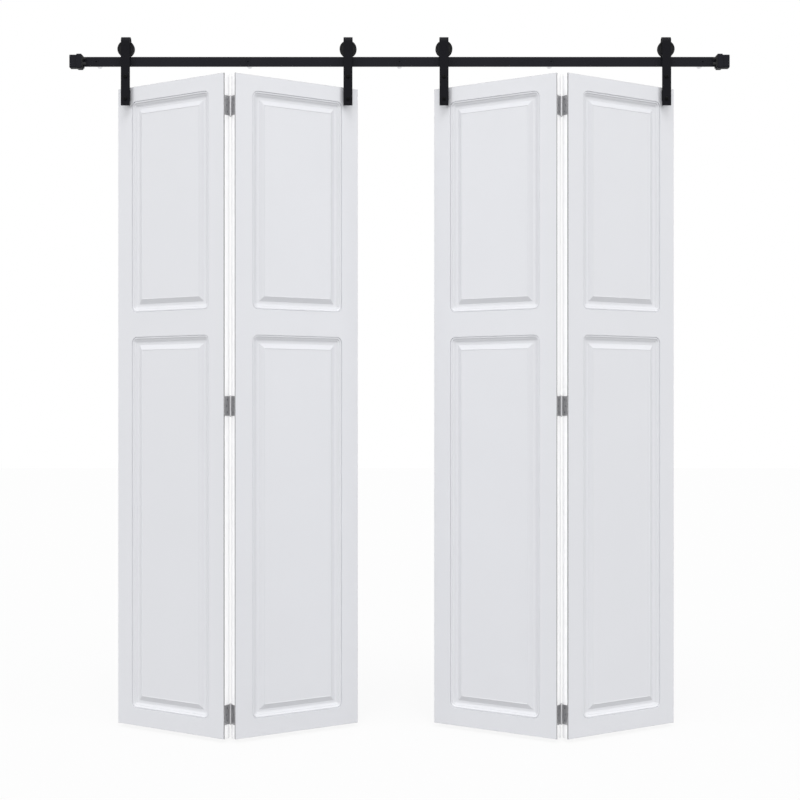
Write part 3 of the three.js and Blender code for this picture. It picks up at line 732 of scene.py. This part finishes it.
def moulded_skin():
    """A formed sheet whose face is at y = 0 and whose back is towards +Y. Its rim, with the outer
    bands of its eased corner, is the second material: on the front skin a dark board colour that is
    partly painted shade."""
    bm = bmesh.new()

    def outline(inset, depth):
        corners = [
            (LEAF_NEAR + inset, -LEAF_HEIGHT + inset), (LEAF_FAR - inset, -LEAF_HEIGHT + inset),
            (LEAF_FAR - inset, -inset), (LEAF_NEAR + inset, -inset),
        ]
        return [bm.verts.new((x, depth, z)) for x, z in corners]

    angles = [math.pi / 2 * i / SOFT_SIDES for i in range(SOFT_SIDES + 1)]
    loops = [
        outline(SKIN_EASE - SKIN_EASE * math.sin(a), SKIN_EASE - SKIN_EASE * math.cos(a))
        for a in angles
    ]
    back = outline(0, SKIN_THICKNESS)
    add_band(bm, loops[0], loops[1])
    rim = [face for outer, inner in zip(loops[1:], [*loops[2:], back])
           for face in add_band(bm, outer, inner)]
    add_moulded_side(bm, loops[0], moulding_profile())
    add_moulded_side(bm, back, [
        (0, SKIN_THICKNESS),
        (VALLEY_START - SHEET_BEND, VALLEY_DEPTH + SKIN_THICKNESS),
        (VALLEY_END + SHEET_BEND, VALLEY_DEPTH + SKIN_THICKNESS),
        (VALLEY_END + BEVEL_WIDTH, BEVEL_DEPTH + SKIN_THICKNESS),
        (VALLEY_END + BEVEL_WIDTH + FILLET_WIDTH, FIELD_DEPTH + SKIN_THICKNESS),
    ])
    # The rim and the eased corner's outer bands take the second material. On the front skin that is
    # the dark board colour, partly painted shade.
    for face in rim:
        face.material_index = 1
    return cleaned(bm)


def hinge_gains(depth):
    """The gains in a leaf's hinge edge, cut in from its back."""
    half = PLATE_HEIGHT / 2 + SEAT_GAP
    return [
        block(
            LEAF_FAR - PLATE_THICKNESS - SEAT_GAP, LEAF_FAR + OVERRUN,
            LEAF_BACK - depth, LEAF_BACK + OVERRUN, z - half, z + half,
        )
        for z in HINGE_HEIGHTS.values()
    ]


def add_skins(leaf, place):
    """The two skins of a leaf. place takes the leaf's own frame to the model's."""
    body = f"{leaf}_leaf"
    # The front skin's rim is dark board colour, partly painted shade along the leaf edges. The back
    # skin's rim is the edge white.
    add_made(f"{leaf}_front_face", moulded_skin(), place @ Matrix.Translation((0, LEAF_FRONT, 0)),
             body, "white_leaf", [f"{leaf}_front_skin"], LEAF_WHITE, RIM_BOARD_AND_SHADE)
    back = make_object("back", moulded_skin(), LEAF_WHITE, EDGE_WHITE_AND_LIGHT)
    back.data.transform(Matrix.Translation((LEAF_NEAR + LEAF_FAR, LEAF_BACK, 0)) @ HALF_TURN)
    carved(back, *hinge_gains(SKIN_THICKNESS + OVERRUN))
    add_made(f"{leaf}_back_face", taken(back), place, body, "white_leaf", [f"{leaf}_back_skin"],
             LEAF_WHITE, EDGE_WHITE_AND_LIGHT)


def add_timber(leaf, place):
    """Two stiles with two rails between them."""
    front = LEAF_FRONT + SKIN_THICKNESS + SEAT_GAP
    back = LEAF_BACK - SKIN_THICKNESS - SEAT_GAP
    inset = STILE_WIDTH - FRAME_SETBACK
    x0, x1 = LEAF_NEAR + inset, LEAF_FAR - inset
    low = -LEAF_HEIGHT + BOTTOM_RAIL_HEIGHT - FRAME_SETBACK
    high = -TOP_RAIL_HEIGHT + FRAME_SETBACK
    hinge_stile = make_object("stile", block(x1, LEAF_FAR, front, back, -LEAF_HEIGHT, 0))
    eased(hinge_stile, TIMBER_EASE, segments=2)
    carved(hinge_stile, *hinge_gains(PLATE_WIDTH + SEAT_GAP))
    others = make_object("others", merged(
        block(LEAF_NEAR, x0, front, back, -LEAF_HEIGHT, 0),
        block(x0, x1, front, back, -LEAF_HEIGHT, low),
        block(x0, x1, front, back, high, 0),
    ))
    eased(others, TIMBER_EASE, segments=2)
    add_made(f"{leaf}_timber", merged(taken(hinge_stile), taken(others)), place, f"{leaf}_leaf",
             "white_edge", [f"{leaf}_frame"], EDGE_WHITE_AND_LIGHT)


# Butt hinges, drawn with the pin's axis at the origin, for the leaf on the left of it


def knuckle_spans(height, count, first):
    """Knuckles of a barrel, every second one from the first, as (bottom, top)."""
    pitch = height / count
    spans = []
    for i in range(first, count, 2):
        below = SEAT_GAP / 2 if i else 0
        above = SEAT_GAP / 2 if i < count - 1 else 0
        spans.append((-height / 2 + i * pitch + below, -height / 2 + (i + 1) * pitch - above))
    return spans


def countersunk_screw(radius):
    """A screw's low-domed head that looks towards +Z from z = 0, with a cross recess."""
    head = make_object("head", revolved([
        (0, -SCREW_HEAD_DEPTH),
        (radius * SCREW_SHANK_SHARE, -SCREW_HEAD_DEPTH),
        (radius, 0),
        (radius * SCREW_CROWN_SHARE, SCREW_HEAD_RISE * SCREW_CROWN_SHARE),
        (0, SCREW_HEAD_RISE),
    ]))
    half, reach = radius * RECESS_WIDTH_SHARE, radius * RECESS_REACH_SHARE
    low, high = -SCREW_HEAD_DEPTH * RECESS_REACH_SHARE, SCREW_HEAD_RISE * 2
    carved(
        head,
        block(-reach, reach, -half, half, low, high),
        block(-half, half, -reach, reach, low, high),
    )
    return taken(head)


def butt_hinge_half(pinned):
    """The blade, the barrel and the screws of one half. The pinned one has the pin's tips."""
    face = -LEAF_JOINT / 2
    outer = face - PLATE_THICKNESS
    near_barrel = -KNUCKLE_RADIUS - SEAT_GAP
    far_edge = -HINGE_FROM_BACK - PLATE_WIDTH
    half = PLATE_HEIGHT / 2
    outline = [
        (near_barrel, -half), (near_barrel, half),
        *arc(far_edge + PLATE_CORNER_RADIUS, half - PLATE_CORNER_RADIUS,
             PLATE_CORNER_RADIUS, 90, 180),
        *arc(far_edge + PLATE_CORNER_RADIUS, PLATE_CORNER_RADIUS - half,
             PLATE_CORNER_RADIUS, 180, 270),
    ]
    plate = make_object("plate", moved(prism(outline, outer, face), ALONG_X))
    eased(plate, PLATE_EASE, segments=2)
    middle = (near_barrel + far_edge) / 2
    seat, heads = PLATE_SCREW_RADIUS + SEAT_GAP, []
    for row in (-1, 0, 1):
        y = middle + (PLATE_SCREW_STAGGER if row else -PLATE_SCREW_STAGGER)
        z = row * PLATE_SCREW_PITCH
        hole = revolved([
            (0, -SCREW_SEAT_DEPTH), (seat / 2, -SCREW_SEAT_DEPTH),
            (seat, 0), (seat, OVERRUN), (0, OVERRUN),
        ])
        carved(plate, moved(hole, Matrix.Translation((face, y, z)) @ ALONG_X))
        heads.append(moved(countersunk_screw(PLATE_SCREW_RADIUS),
                           Matrix.Translation((face - PLATE_SCREW_SINK, y, z)) @ ALONG_X))
    spans = knuckle_spans(PLATE_HEIGHT, KNUCKLE_COUNT, 0 if pinned else 1)
    fingers = [block(outer, face, near_barrel - OVERRUN, -PIN_RADIUS, *span) for span in spans]
    bore = PIN_RADIUS + RUNNING_GAP
    barrel = [tube(KNUCKLE_RADIUS, bore, *span, KNUCKLE_EASE) for span in spans]
    if pinned:
        rim, end = half + PIN_TIP_RIM, half + PIN_TIP_HEIGHT
        tip = [(PIN_RADIUS, half), (PIN_TIP_RADIUS, half), (PIN_TIP_RADIUS, rim),
               *curve((PIN_TIP_RADIUS, rim), (PIN_TIP_RADIUS, end), (0, end))]
        barrel.append(revolved([(r, -z) for r, z in reversed(tip)] + tip))
    return merged(taken(plate), *fingers), merged(*barrel), merged(*heads)


# Hanger, drawn with the swivel's axis at the origin and the leaf's top at z = 0. The strap lies in
# front, at -Y, and its inner edge is at +X


def hexagon(radius, z0, z1):
    return prism(arc(0, 0, radius, 0, 360 - 360 / HEX_SIDES, HEX_SIDES - 1), z0, z1)


def countersink(head_radius, radius, head_depth, face, end):
    """The hole for a countersunk bolt that looks towards -Z, open at both ends."""
    return revolved([
        (0, face - OVERRUN),
        (head_radius + SEAT_GAP, face - OVERRUN),
        (head_radius + SEAT_GAP, face),
        (radius + SEAT_GAP, face + head_depth),
        (radius + SEAT_GAP, end + OVERRUN),
        (0, end + OVERRUN),
    ])


def socket_bolt(profile, face, radius, depth):
    """A bolt turned from a profile, with a hex socket in its face, which looks towards -Z."""
    bolt = make_object("bolt", revolved(profile))
    carved(bolt, hexagon(radius, face - OVERRUN, face + depth))
    return taken(bolt)


def through_strap(z):
    """Takes a piece drawn along Z to the strap's middle, at a height."""
    return Matrix.Translation((STRAP_X, STRAP_Y, z)) @ ALONG_Y


def hanger_strap():
    bend_z = AXLE_HEIGHT + WHEEL_RADIUS + STRAP_OVER_WHEEL - STRAP_INNER
    rear_end = AXLE_HEIGHT - REAR_LEG_DROP
    side = [
        (-STRAP_OUTER, -STRAP_BELOW_LEAF_TOP),
        (-STRAP_INNER, -STRAP_BELOW_LEAF_TOP),
        *arc(0, bend_z, STRAP_INNER, 180, 0, BEND_SIDES),
        (STRAP_INNER, rear_end),
        (STRAP_OUTER, rear_end),
        *arc(0, bend_z, STRAP_OUTER, 0, 180, BEND_SIDES),
    ]
    bar = prism(side, -STRAP_WIDTH / 2, STRAP_WIDTH / 2)
    strap = make_object("strap", moved(bar, Matrix.Translation((STRAP_X, STRAP_Y, 0)) @ ALONG_X))
    eased(strap, STRAP_EASE)
    axle_hole = countersink(
        AXLE_HEAD_RADIUS, AXLE_RADIUS, AXLE_HEAD_DEPTH, -STRAP_OUTER, STRAP_OUTER,
    )
    carved(strap, moved(axle_hole, through_strap(AXLE_HEIGHT)))
    for z in (STRAP_BOLT_RISE, -STRAP_BOLT_DROP):
        hole = cylinder(STRAP_BOLT_RADIUS + SEAT_GAP * 2, -STRAP_OUTER - OVERRUN, 0)
        carved(strap, moved(hole, through_strap(z)))
    return taken(strap)


def hanger_wheel():
    side = WHEEL_HALF_WIDTH
    hub_end = STRAP_INNER - SEAT_GAP
    bore = AXLE_RADIUS + RUNNING_GAP * 2
    half = [
        (bore, 0),
        (bore, hub_end),
        (HUB_RADIUS, hub_end),
        (HUB_RADIUS, side - DISH_DEPTH),
        (DISH_RADIUS, side - DISH_DEPTH),
        (DISH_RADIUS + DISH_DEPTH, side),
        (WHEEL_RADIUS - RIM_CHAMFER, side),
        (WHEEL_RADIUS, side - RIM_CHAMFER),
        (WHEEL_RADIUS, GROOVE_MOUTH_HALF),
        (ROLL_RADIUS, GROOVE_FLOOR_HALF),
        (ROLL_RADIUS, 0),
    ]
    line = [(p.x, p.y) for p in softened(half, WHEEL_SOFTENING)]
    profile = line + [(r, -y) for r, y in reversed(line[:-1])]
    return moved(revolved(profile, WHEEL_SIDES), through_strap(AXLE_HEIGHT))


def hanger_axle():
    face = STRAP_OUTER + SEAT_GAP
    nut_end = face + AXLE_NUT_HEIGHT
    end = nut_end - AXLE_TIP_SETBACK
    bolt = revolved([
        (0, -STRAP_OUTER),
        (AXLE_HEAD_RADIUS, -STRAP_OUTER),
        (AXLE_RADIUS, -STRAP_OUTER + AXLE_HEAD_DEPTH),
        (AXLE_RADIUS, end - AXLE_TIP_CHAMFER),
        (AXLE_RADIUS - AXLE_TIP_CHAMFER, end),
        (0, end),
    ])
    nut = make_object("nut", hexagon(AXLE_NUT_RADIUS, face, nut_end))
    eased(nut, AXLE_NUT_EASE)
    carved(nut, cylinder(AXLE_RADIUS + AXLE_NUT_GAP, face - OVERRUN, nut_end + OVERRUN))
    return moved(merged(bolt, taken(nut)), through_strap(AXLE_HEIGHT))


def swivel_flap(near, far, z0, z1, first, bore):
    """A plate that lies off the axis by the given distance, with its knuckles."""
    plate_end = -SWIVEL_KNUCKLE_RADIUS - SEAT_GAP * 2
    reach = STRAP_WIDTH - SWIVEL_FROM_STRAP_EDGE - SWIVEL_PLATE_SET_IN
    corner = SWIVEL_PLATE_CORNER
    outline = [
        (plate_end, z0), (plate_end, z1),
        *arc(corner - reach, z1 - corner, corner, 90, 180),
        *arc(corner - reach, z0 + corner, corner, 180, 270),
    ]
    plate = make_object("flap", moved(prism(outline, near, far), FACING_Y))
    eased(plate, PLATE_EASE, segments=2)
    middle = -SWIVEL_BARREL_DROP - SWIVEL_BARREL_HEIGHT / 2
    parts = [taken(plate)]
    for low, high in knuckle_spans(SWIVEL_BARREL_HEIGHT, SWIVEL_KNUCKLE_COUNT, first):
        low, high = low + middle, high + middle
        parts.append(block(plate_end - OVERRUN, -SWIVEL_PIN_RADIUS, near, far, low, high))
        parts.append(tube(SWIVEL_KNUCKLE_RADIUS, bore, low, high, KNUCKLE_EASE))
    return merged(*parts)


def button_bolt(z):
    """The round head, with its hex socket, and the shank of a bolt through the strap."""
    back = -STRAP_OUTER - SEAT_GAP
    front = back - STRAP_BOLT_HEAD_HEIGHT
    flat = STRAP_BOLT_HEAD_RADIUS / 2
    end = SEAT_GAP - LEAF_FRONT - STRAP_Y + SEAT_GAP
    bolt = socket_bolt([
        (0, front),
        (flat, front),
        *curve((flat, front), (STRAP_BOLT_HEAD_RADIUS, front + STRAP_BOLT_HEAD_DROP),
               (STRAP_BOLT_HEAD_RADIUS, back - STRAP_BOLT_HEAD_RIM)),
        (STRAP_BOLT_HEAD_RADIUS, back),
        (STRAP_BOLT_RADIUS, back),
        (STRAP_BOLT_RADIUS, end),
        (0, end),
    ], front, BOLT_SOCKET_RADIUS, BOLT_SOCKET_DEPTH)
    return moved(bolt, through_strap(z))


def swivel_pin_plate():
    near = SEAT_GAP - LEAF_FRONT
    flap = swivel_flap(
        near, near + SWIVEL_PLATE_THICKNESS,
        -STRAP_BOLT_DROP - SWIVEL_PLATE_MARGIN, STRAP_BOLT_RISE + SWIVEL_PLATE_MARGIN, 0,
        SWIVEL_PIN_RADIUS - RUNNING_GAP,
    )
    low, high = -SWIVEL_BARREL_DROP - SWIVEL_BARREL_HEIGHT, -SWIVEL_BARREL_DROP
    return merged(flap, cylinder(SWIVEL_PIN_RADIUS, low, high))


def swivel_leaf_plate():
    far = LEAF_FRONT - SEAT_GAP
    near = far - SWIVEL_PLATE_THICKNESS
    low = -SWIVEL_BARREL_DROP - SWIVEL_BARREL_HEIGHT
    flap = swivel_flap(near, far, low, -SWIVEL_BARREL_DROP, 1, SWIVEL_PIN_RADIUS + RUNNING_GAP)
    screws = []
    for share in SWIVEL_SCREW_SHARES:
        spot = (STRAP_X - SWIVEL_SCREW_OFFSET, near, low + SWIVEL_BARREL_HEIGHT * share)
        screws.append(moved(
            countersunk_screw(SWIVEL_SCREW_RADIUS), Matrix.Translation(spot) @ FACING_FRONT,
        ))
    return merged(flap, *screws)


# Rail, spacers, stops and bumpers, drawn with the rail's middle at the origin


def rail_bar():
    half = (RAIL_HIGH.x - RAIL_LOW.x) / 2
    bar = make_object("rail_bar", block(
        -half, half, -RAIL_THICKNESS / 2, RAIL_THICKNESS / 2, -RAIL_HEIGHT / 2, RAIL_HEIGHT / 2,
    ))
    eased(bar, RAIL_EASE)
    for x in spacer_places():
        hole = countersink(LAG_HEAD_RADIUS, LAG_BOLT_RADIUS, LAG_HEAD_DEPTH,
                           -RAIL_THICKNESS / 2, RAIL_THICKNESS / 2)
        carved(bar, moved(hole, Matrix.Translation((x, 0, 0)) @ ALONG_Y))
    return taken(bar)


def spacer_places():
    boxes = [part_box(f"wall_spacer_{i}") for i in range(1, SPACER_COUNT + 1)]
    return [(low.x + high.x) / 2 for low, high in boxes]


def lag_bolt():
    front = -RAIL_THICKNESS / 2 + LAG_HEAD_SINK
    end = RAIL_THICKNESS / 2 + SPACER_LENGTH - LAG_BOLT_SETBACK
    return moved(socket_bolt([
        (0, front),
        (LAG_HEAD_RADIUS - LAG_HEAD_EASE, front),
        (LAG_HEAD_RADIUS, front + LAG_HEAD_EASE),
        (LAG_BOLT_RADIUS, front + LAG_HEAD_DEPTH),
        (LAG_BOLT_RADIUS, end),
        (0, end),
    ], front, LAG_SOCKET_RADIUS, LAG_SOCKET_DEPTH), ALONG_Y)


def spacer_sleeve():
    bore = LAG_BOLT_RADIUS + SEAT_GAP
    start = RAIL_THICKNESS / 2 + SEAT_GAP
    end = RAIL_THICKNESS / 2 + SPACER_LENGTH
    return moved(tube(SPACER_RADIUS, bore, start, end, SPACER_EASE), ALONG_Y)


def rail_slot(x0, x1):
    """The rail with room round it."""
    half_depth = RAIL_THICKNESS / 2 + SEAT_GAP
    half_height = RAIL_HEIGHT / 2 + SEAT_GAP
    return block(x0, x1, -half_depth, half_depth, -half_height, half_height)


def rounded_bar(x0, x1, depth, height, ease, segments=3):
    """A bar along X with rounded corners and eased ends, as a bmesh."""
    section = rounded_rectangle(-depth / 2, depth / 2, -height / 2, height / 2, STOP_CORNER_RADIUS)
    bar = make_object("bar", moved(prism(section, x0, x1), ALONG_X))
    return taken(eased(bar, ease, segments, ROUNDED_BAR_ANGLE))


def stop_sizes():
    """Where the left stop starts and ends, with its collar, and its block's depth and height."""
    outside = RAIL_LOW.x - SEAT_GAP - STOP_END_WALL
    inside = outside + STOP_BLOCK_LENGTH + STOP_COLLAR_LENGTH
    depth = RAIL_THICKNESS + STOP_CHEEK * 2
    height = RAIL_HEIGHT + STOP_COVER * 2
    return outside, inside, depth, height


def end_stop():
    """The stop at the rail's left end, with the holes for its grub screws."""
    outside, inside, depth, height = stop_sizes()
    step = inside - STOP_COLLAR_LENGTH
    stop = make_object("stop", rounded_bar(
        outside, step + STOP_EASE * 2, depth, height, STOP_EASE, segments=4,
    ))
    combined(stop, "UNION", rounded_bar(
        step, inside, depth + COLLAR_PROUD * 2, height + COLLAR_RISE * 2, STOP_EASE, segments=4,
    ))
    carved(stop, rail_slot(RAIL_LOW.x - SEAT_GAP, inside + OVERRUN))
    for z in STOP_SCREW_HEIGHTS:
        hole = cylinder(STOP_HOLE_RADIUS, depth / 2 - STOP_HOLE_DEPTH, depth / 2 + OVERRUN)
        carved(stop, moved(hole, Matrix.Translation(((outside + step) / 2, 0, z)) @ ALONG_Y))
    return taken(stop)


def stop_screws():
    """The hex-socket grub screws in the stop's back."""
    outside, inside, depth, _ = stop_sizes()
    screw_x = (outside + inside - STOP_COLLAR_LENGTH) / 2
    face = -depth / 2 + STOP_SCREW_SINK
    end = face + STOP_SCREW_LENGTH
    radius = STOP_HOLE_RADIUS - STOP_SCREW_GAP
    screws = []
    for z in STOP_SCREW_HEIGHTS:
        screw = socket_bolt([
            (0, face), (radius - STOP_SCREW_EASE, face), (radius, face + STOP_SCREW_EASE),
            (radius, end), (0, end),
        ], face, radius / 2, STOP_SOCKET_DEPTH)
        screws.append(moved(screw, Matrix.Translation((screw_x, 0, z)) @ HALF_TURN @ ALONG_Y))
    return merged(*screws)


def bumper():
    """The rubber on the left stop: a pad round the rail with two studs."""
    _, inside, depth, _ = stop_sizes()
    start = inside + SEAT_GAP
    end = start + BUMPER_PAD_THICKNESS
    pad = make_object("pad", rounded_bar(
        start, end, depth + COLLAR_PROUD * 2, RAIL_HEIGHT + BUMPER_PAD_COVER * 2, BUMPER_PAD_EASE,
    ))
    carved(pad, rail_slot(start - OVERRUN, end + OVERRUN))
    parts = [taken(pad)]
    tip = end + BUMPER_STUD_LENGTH
    rim = tip - BUMPER_STUD_DOME
    for z in (-BUMPER_STUD_OFFSET, BUMPER_STUD_OFFSET):
        stud = revolved([
            (0, end - SEAT_GAP),
            (BUMPER_STUD_RADIUS, end - SEAT_GAP),
            (BUMPER_STUD_RADIUS, rim),
            *curve((BUMPER_STUD_RADIUS, rim), (BUMPER_STUD_RADIUS, tip), (0, tip)),
        ])
        parts.append(moved(stud, Matrix.Translation((0, -STRAP_INNER, z)) @ ALONG_X))
    return merged(*parts)


# Studio


def seen_rays(tree):
    """1 for the rays that show a background, and 0 for those that carry its light."""
    path = tree.nodes.new("ShaderNodeLightPath")
    seen = path.outputs["Is Camera Ray"]
    for kind in ("Is Glossy Ray", "Is Transmission Ray"):
        either = tree.nodes.new("ShaderNodeMath")
        either.operation = "MAXIMUM"
        tree.links.new(seen, either.inputs[0])
        tree.links.new(path.outputs[kind], either.inputs[1])
        seen = either.outputs["Value"]
    return seen


def add_camera():
    camera = bpy.data.objects.new("camera", bpy.data.cameras.new("camera"))
    bpy.context.scene.collection.objects.link(camera)
    bpy.context.scene.camera = camera
    doors_middle = (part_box("left_outer_frame")[0].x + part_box("right_outer_frame")[1].x) / 2
    camera.location = (doors_middle, RAIL_Y - CAMERA_DISTANCE, LEAF_TOP - LEAF_HEIGHT / 2)
    camera.rotation_euler = (math.pi / 2, 0, 0)
    picture_width = RAIL_MM_PER_PIXEL * MM * PICTURE_PIXELS
    camera.data.sensor_width = SENSOR_WIDTH
    camera.data.lens = SENSOR_WIDTH * CAMERA_DISTANCE / picture_width
    camera.data.shift_x = (PICTURE_PIXELS / 2 - DOORS_MIDDLE_PIXEL) / PICTURE_PIXELS
    camera.data.shift_y = (HORIZON_PIXEL - PICTURE_PIXELS / 2) / PICTURE_PIXELS


def add_floor():
    """A floor that the camera sees as white, with a faint shadow. It throws back less light."""
    bm = bmesh.new()
    bmesh.ops.create_grid(bm, x_segments=1, y_segments=1, size=FLOOR_SIZE / 2)
    bm.transform(Matrix.Translation((0, 0, LEAF_TOP - LEAF_HEIGHT - FLOOR_CLEARANCE)))
    shader = Shader("pale_floor", FLOOR_SEEN, roughness=0.9, specular=0)
    seen = seen_rays(shader.tree)
    color = shader.node("ShaderNodeMix", data_type="RGBA")
    color.inputs["A"].default_value = (*linear(FLOOR_BOUNCE), 1)
    color.inputs["B"].default_value = shader.color
    shader.link(seen, color.inputs["Factor"])
    shader.link(color.outputs["Result"], shader.surface.inputs["Base Color"])
    white = shader.node("ShaderNodeEmission")
    mix = shader.node("ShaderNodeMixShader")
    share = shader.node("ShaderNodeMath", operation="MULTIPLY")
    share.inputs[1].default_value = FLOOR_GLOW
    shader.link(seen, share.inputs[0])
    shader.link(share.outputs["Value"], mix.inputs["Fac"])
    shader.link(shader.surface.outputs["BSDF"], mix.inputs[1])
    shader.link(white.outputs["Emission"], mix.inputs[2])
    shader.link(mix.outputs["Shader"], shader.tree.nodes["Material Output"].inputs["Surface"])
    make_object("floor", bm, shader.material)


def add_world():
    """A world that is seen as white, and gives a softer light."""
    world = bpy.data.worlds.new("studio")
    bpy.context.scene.world = world
    world.use_nodes = True
    tree = world.node_tree
    mix = tree.nodes.new("ShaderNodeMixShader")
    tree.links.new(seen_rays(tree), mix.inputs["Fac"])
    soft, white = tree.nodes["Background"], tree.nodes.new("ShaderNodeBackground")
    for i, (background, strength) in enumerate(((soft, WORLD_STRENGTH), (white, 1)), 1):
        background.inputs["Color"].default_value = (1, 1, 1, 1)
        background.inputs["Strength"].default_value = strength
        tree.links.new(background.outputs["Background"], mix.inputs[i])
    tree.links.new(mix.outputs["Shader"], tree.nodes["World Output"].inputs["Surface"])


def add_sun(name, azimuth, elevation, strength):
    """A soft, distant lamp."""
    lamp = bpy.data.lights.new(name, "SUN")
    lamp.energy = strength
    lamp.angle = math.radians(SUN_ANGLE)
    obj = bpy.data.objects.new(name, lamp)
    obj.rotation_euler = (math.radians(90 - elevation), 0, math.radians(azimuth))
    bpy.context.scene.collection.objects.link(obj)


def add_studio():
    add_camera()
    add_floor()
    add_world()
    for name, place in SUNS.items():
        add_sun(name, *place)
    bpy.context.scene.view_settings.view_transform = "Standard"


# The whole part


def dress_cores():
    """Gives the cores their look. They are the only CAD nodes that no piece replaces."""
    for name, node in frame["nodes"].items():
        if name.endswith("_core"):
            node.data.materials.clear()
            node.data.materials.append(CORE_PAPER)


def sides():
    """Each leaf's pair, role and hand, and the frames of its hanger and of itself. All is drawn for
    the left hand, so the frames of the right hand mirror it."""
    for pair in ("left", "right"):
        for role in ("outer", "inner"):
            left_hand = (pair == "left") == (role == "outer")
            joint = f"{pair}_fold" if role == "outer" else f"{pair}_inner_swivel"
            x, y, _ = JOINTS[joint]["pos_m"]
            hanger = Matrix.Translation((x, y, LEAF_TOP))
            leaf = hanger @ Matrix.Rotation(-REST_FOLD if left_hand else REST_FOLD, 4, "Z")
            if not left_hand:
                hanger, leaf = hanger @ MIRROR, leaf @ MIRROR
            yield pair, role, left_hand, hanger, leaf


def add_hanger(leaf, place):
    body = f"{leaf}_hanger"
    add_made(f"{leaf}_bent_strap", hanger_strap(), place, body, "black_steel",
             [f"{leaf}_strap"], STRAP_COAT)
    add_made(f"{leaf}_turned_wheel", hanger_wheel(), place, f"{leaf}_roller", "wheel_nylon",
             [f"{leaf}_wheel"], WHEEL_BLACK)
    add_made(f"{leaf}_axle", hanger_axle(), place, body, "black_steel",
             [f"{leaf}_axle_bolt"], STRAP_COAT)
    plate = f"{leaf}_swivel_pin_plate"
    add_made(f"{leaf}_swivel_flap", swivel_pin_plate(), place, body, "black_steel",
             [plate], BLACK_COAT)
    bolts = merged(button_bolt(STRAP_BOLT_RISE), button_bolt(-STRAP_BOLT_DROP))
    add_made(f"{leaf}_strap_bolts", bolts, place, body, "black_steel", [plate], BOLT_BLACK)


def add_butt_hinges(pair, leaf, place, pinned):
    kind = "hinge_pin_plate" if pinned else "hinge_plate"
    hinge_x = LEAF_FAR + LEAF_JOINT / 2
    hinge_y = LEAF_BACK + HINGE_FROM_BACK
    for row, z in HINGE_HEIGHTS.items():
        here = place @ Matrix.Translation((hinge_x, hinge_y, z))
        node = f"{pair}_{row}_{kind}"
        for (part, look), bm in zip(BUTT_HINGE_LOOKS.items(), butt_hinge_half(pinned)):
            add_made(f"{node}_{part}", bm, here, f"{leaf}_leaf", "zinc_steel", [node], look)


def add_track():
    middle = Matrix.Translation((0, RAIL_Y, 0))
    add_made("flat_rail", rail_bar(), middle, "track", "black_steel", ["rail"], BLACK_COAT)
    for i, x in enumerate(spacer_places(), 1):
        here = middle @ Matrix.Translation((x, 0, 0))
        node = f"wall_spacer_{i}"
        add_made(f"spacer_sleeve_{i}", spacer_sleeve(), here, "track", "zinc_steel", [node],
                 SLEEVE_ZINC)
        add_made(f"lag_bolt_{i}", lag_bolt(), here, "track", "black_steel", [node], BLACK_COAT)
    for hand in ("left", "right"):
        here = middle if hand == "left" else middle @ MIRROR
        node = f"{hand}_end_stop"
        add_made(f"{hand}_stop_block", end_stop(), here, "track", "black_steel", [node],
                 BLACK_COAT)
        add_made(f"{hand}_stop_screws", stop_screws(), here, "track", "black_steel", [node],
                 BOLT_BLACK)
        add_made(f"{hand}_rubber_bumper", bumper(), here, "track", "bumper_rubber",
                 [f"{hand}_bumper"], BUMPER_BLACK)


add_studio()
dress_cores()
add_track()
for pair, role, left_hand, hanger_frame, leaf_frame in sides():
    leaf = f"{pair}_{role}"
    add_skins(leaf, leaf_frame)
    add_timber(leaf, leaf_frame)
    add_hanger(leaf, hanger_frame)
    add_made(f"{leaf}_swivel_leaf_flap", swivel_leaf_plate(), leaf_frame, f"{leaf}_leaf",
             "black_steel", [f"{leaf}_swivel_leaf_plate"], BLACK_COAT)
    add_butt_hinges(pair, leaf, leaf_frame, left_hand)
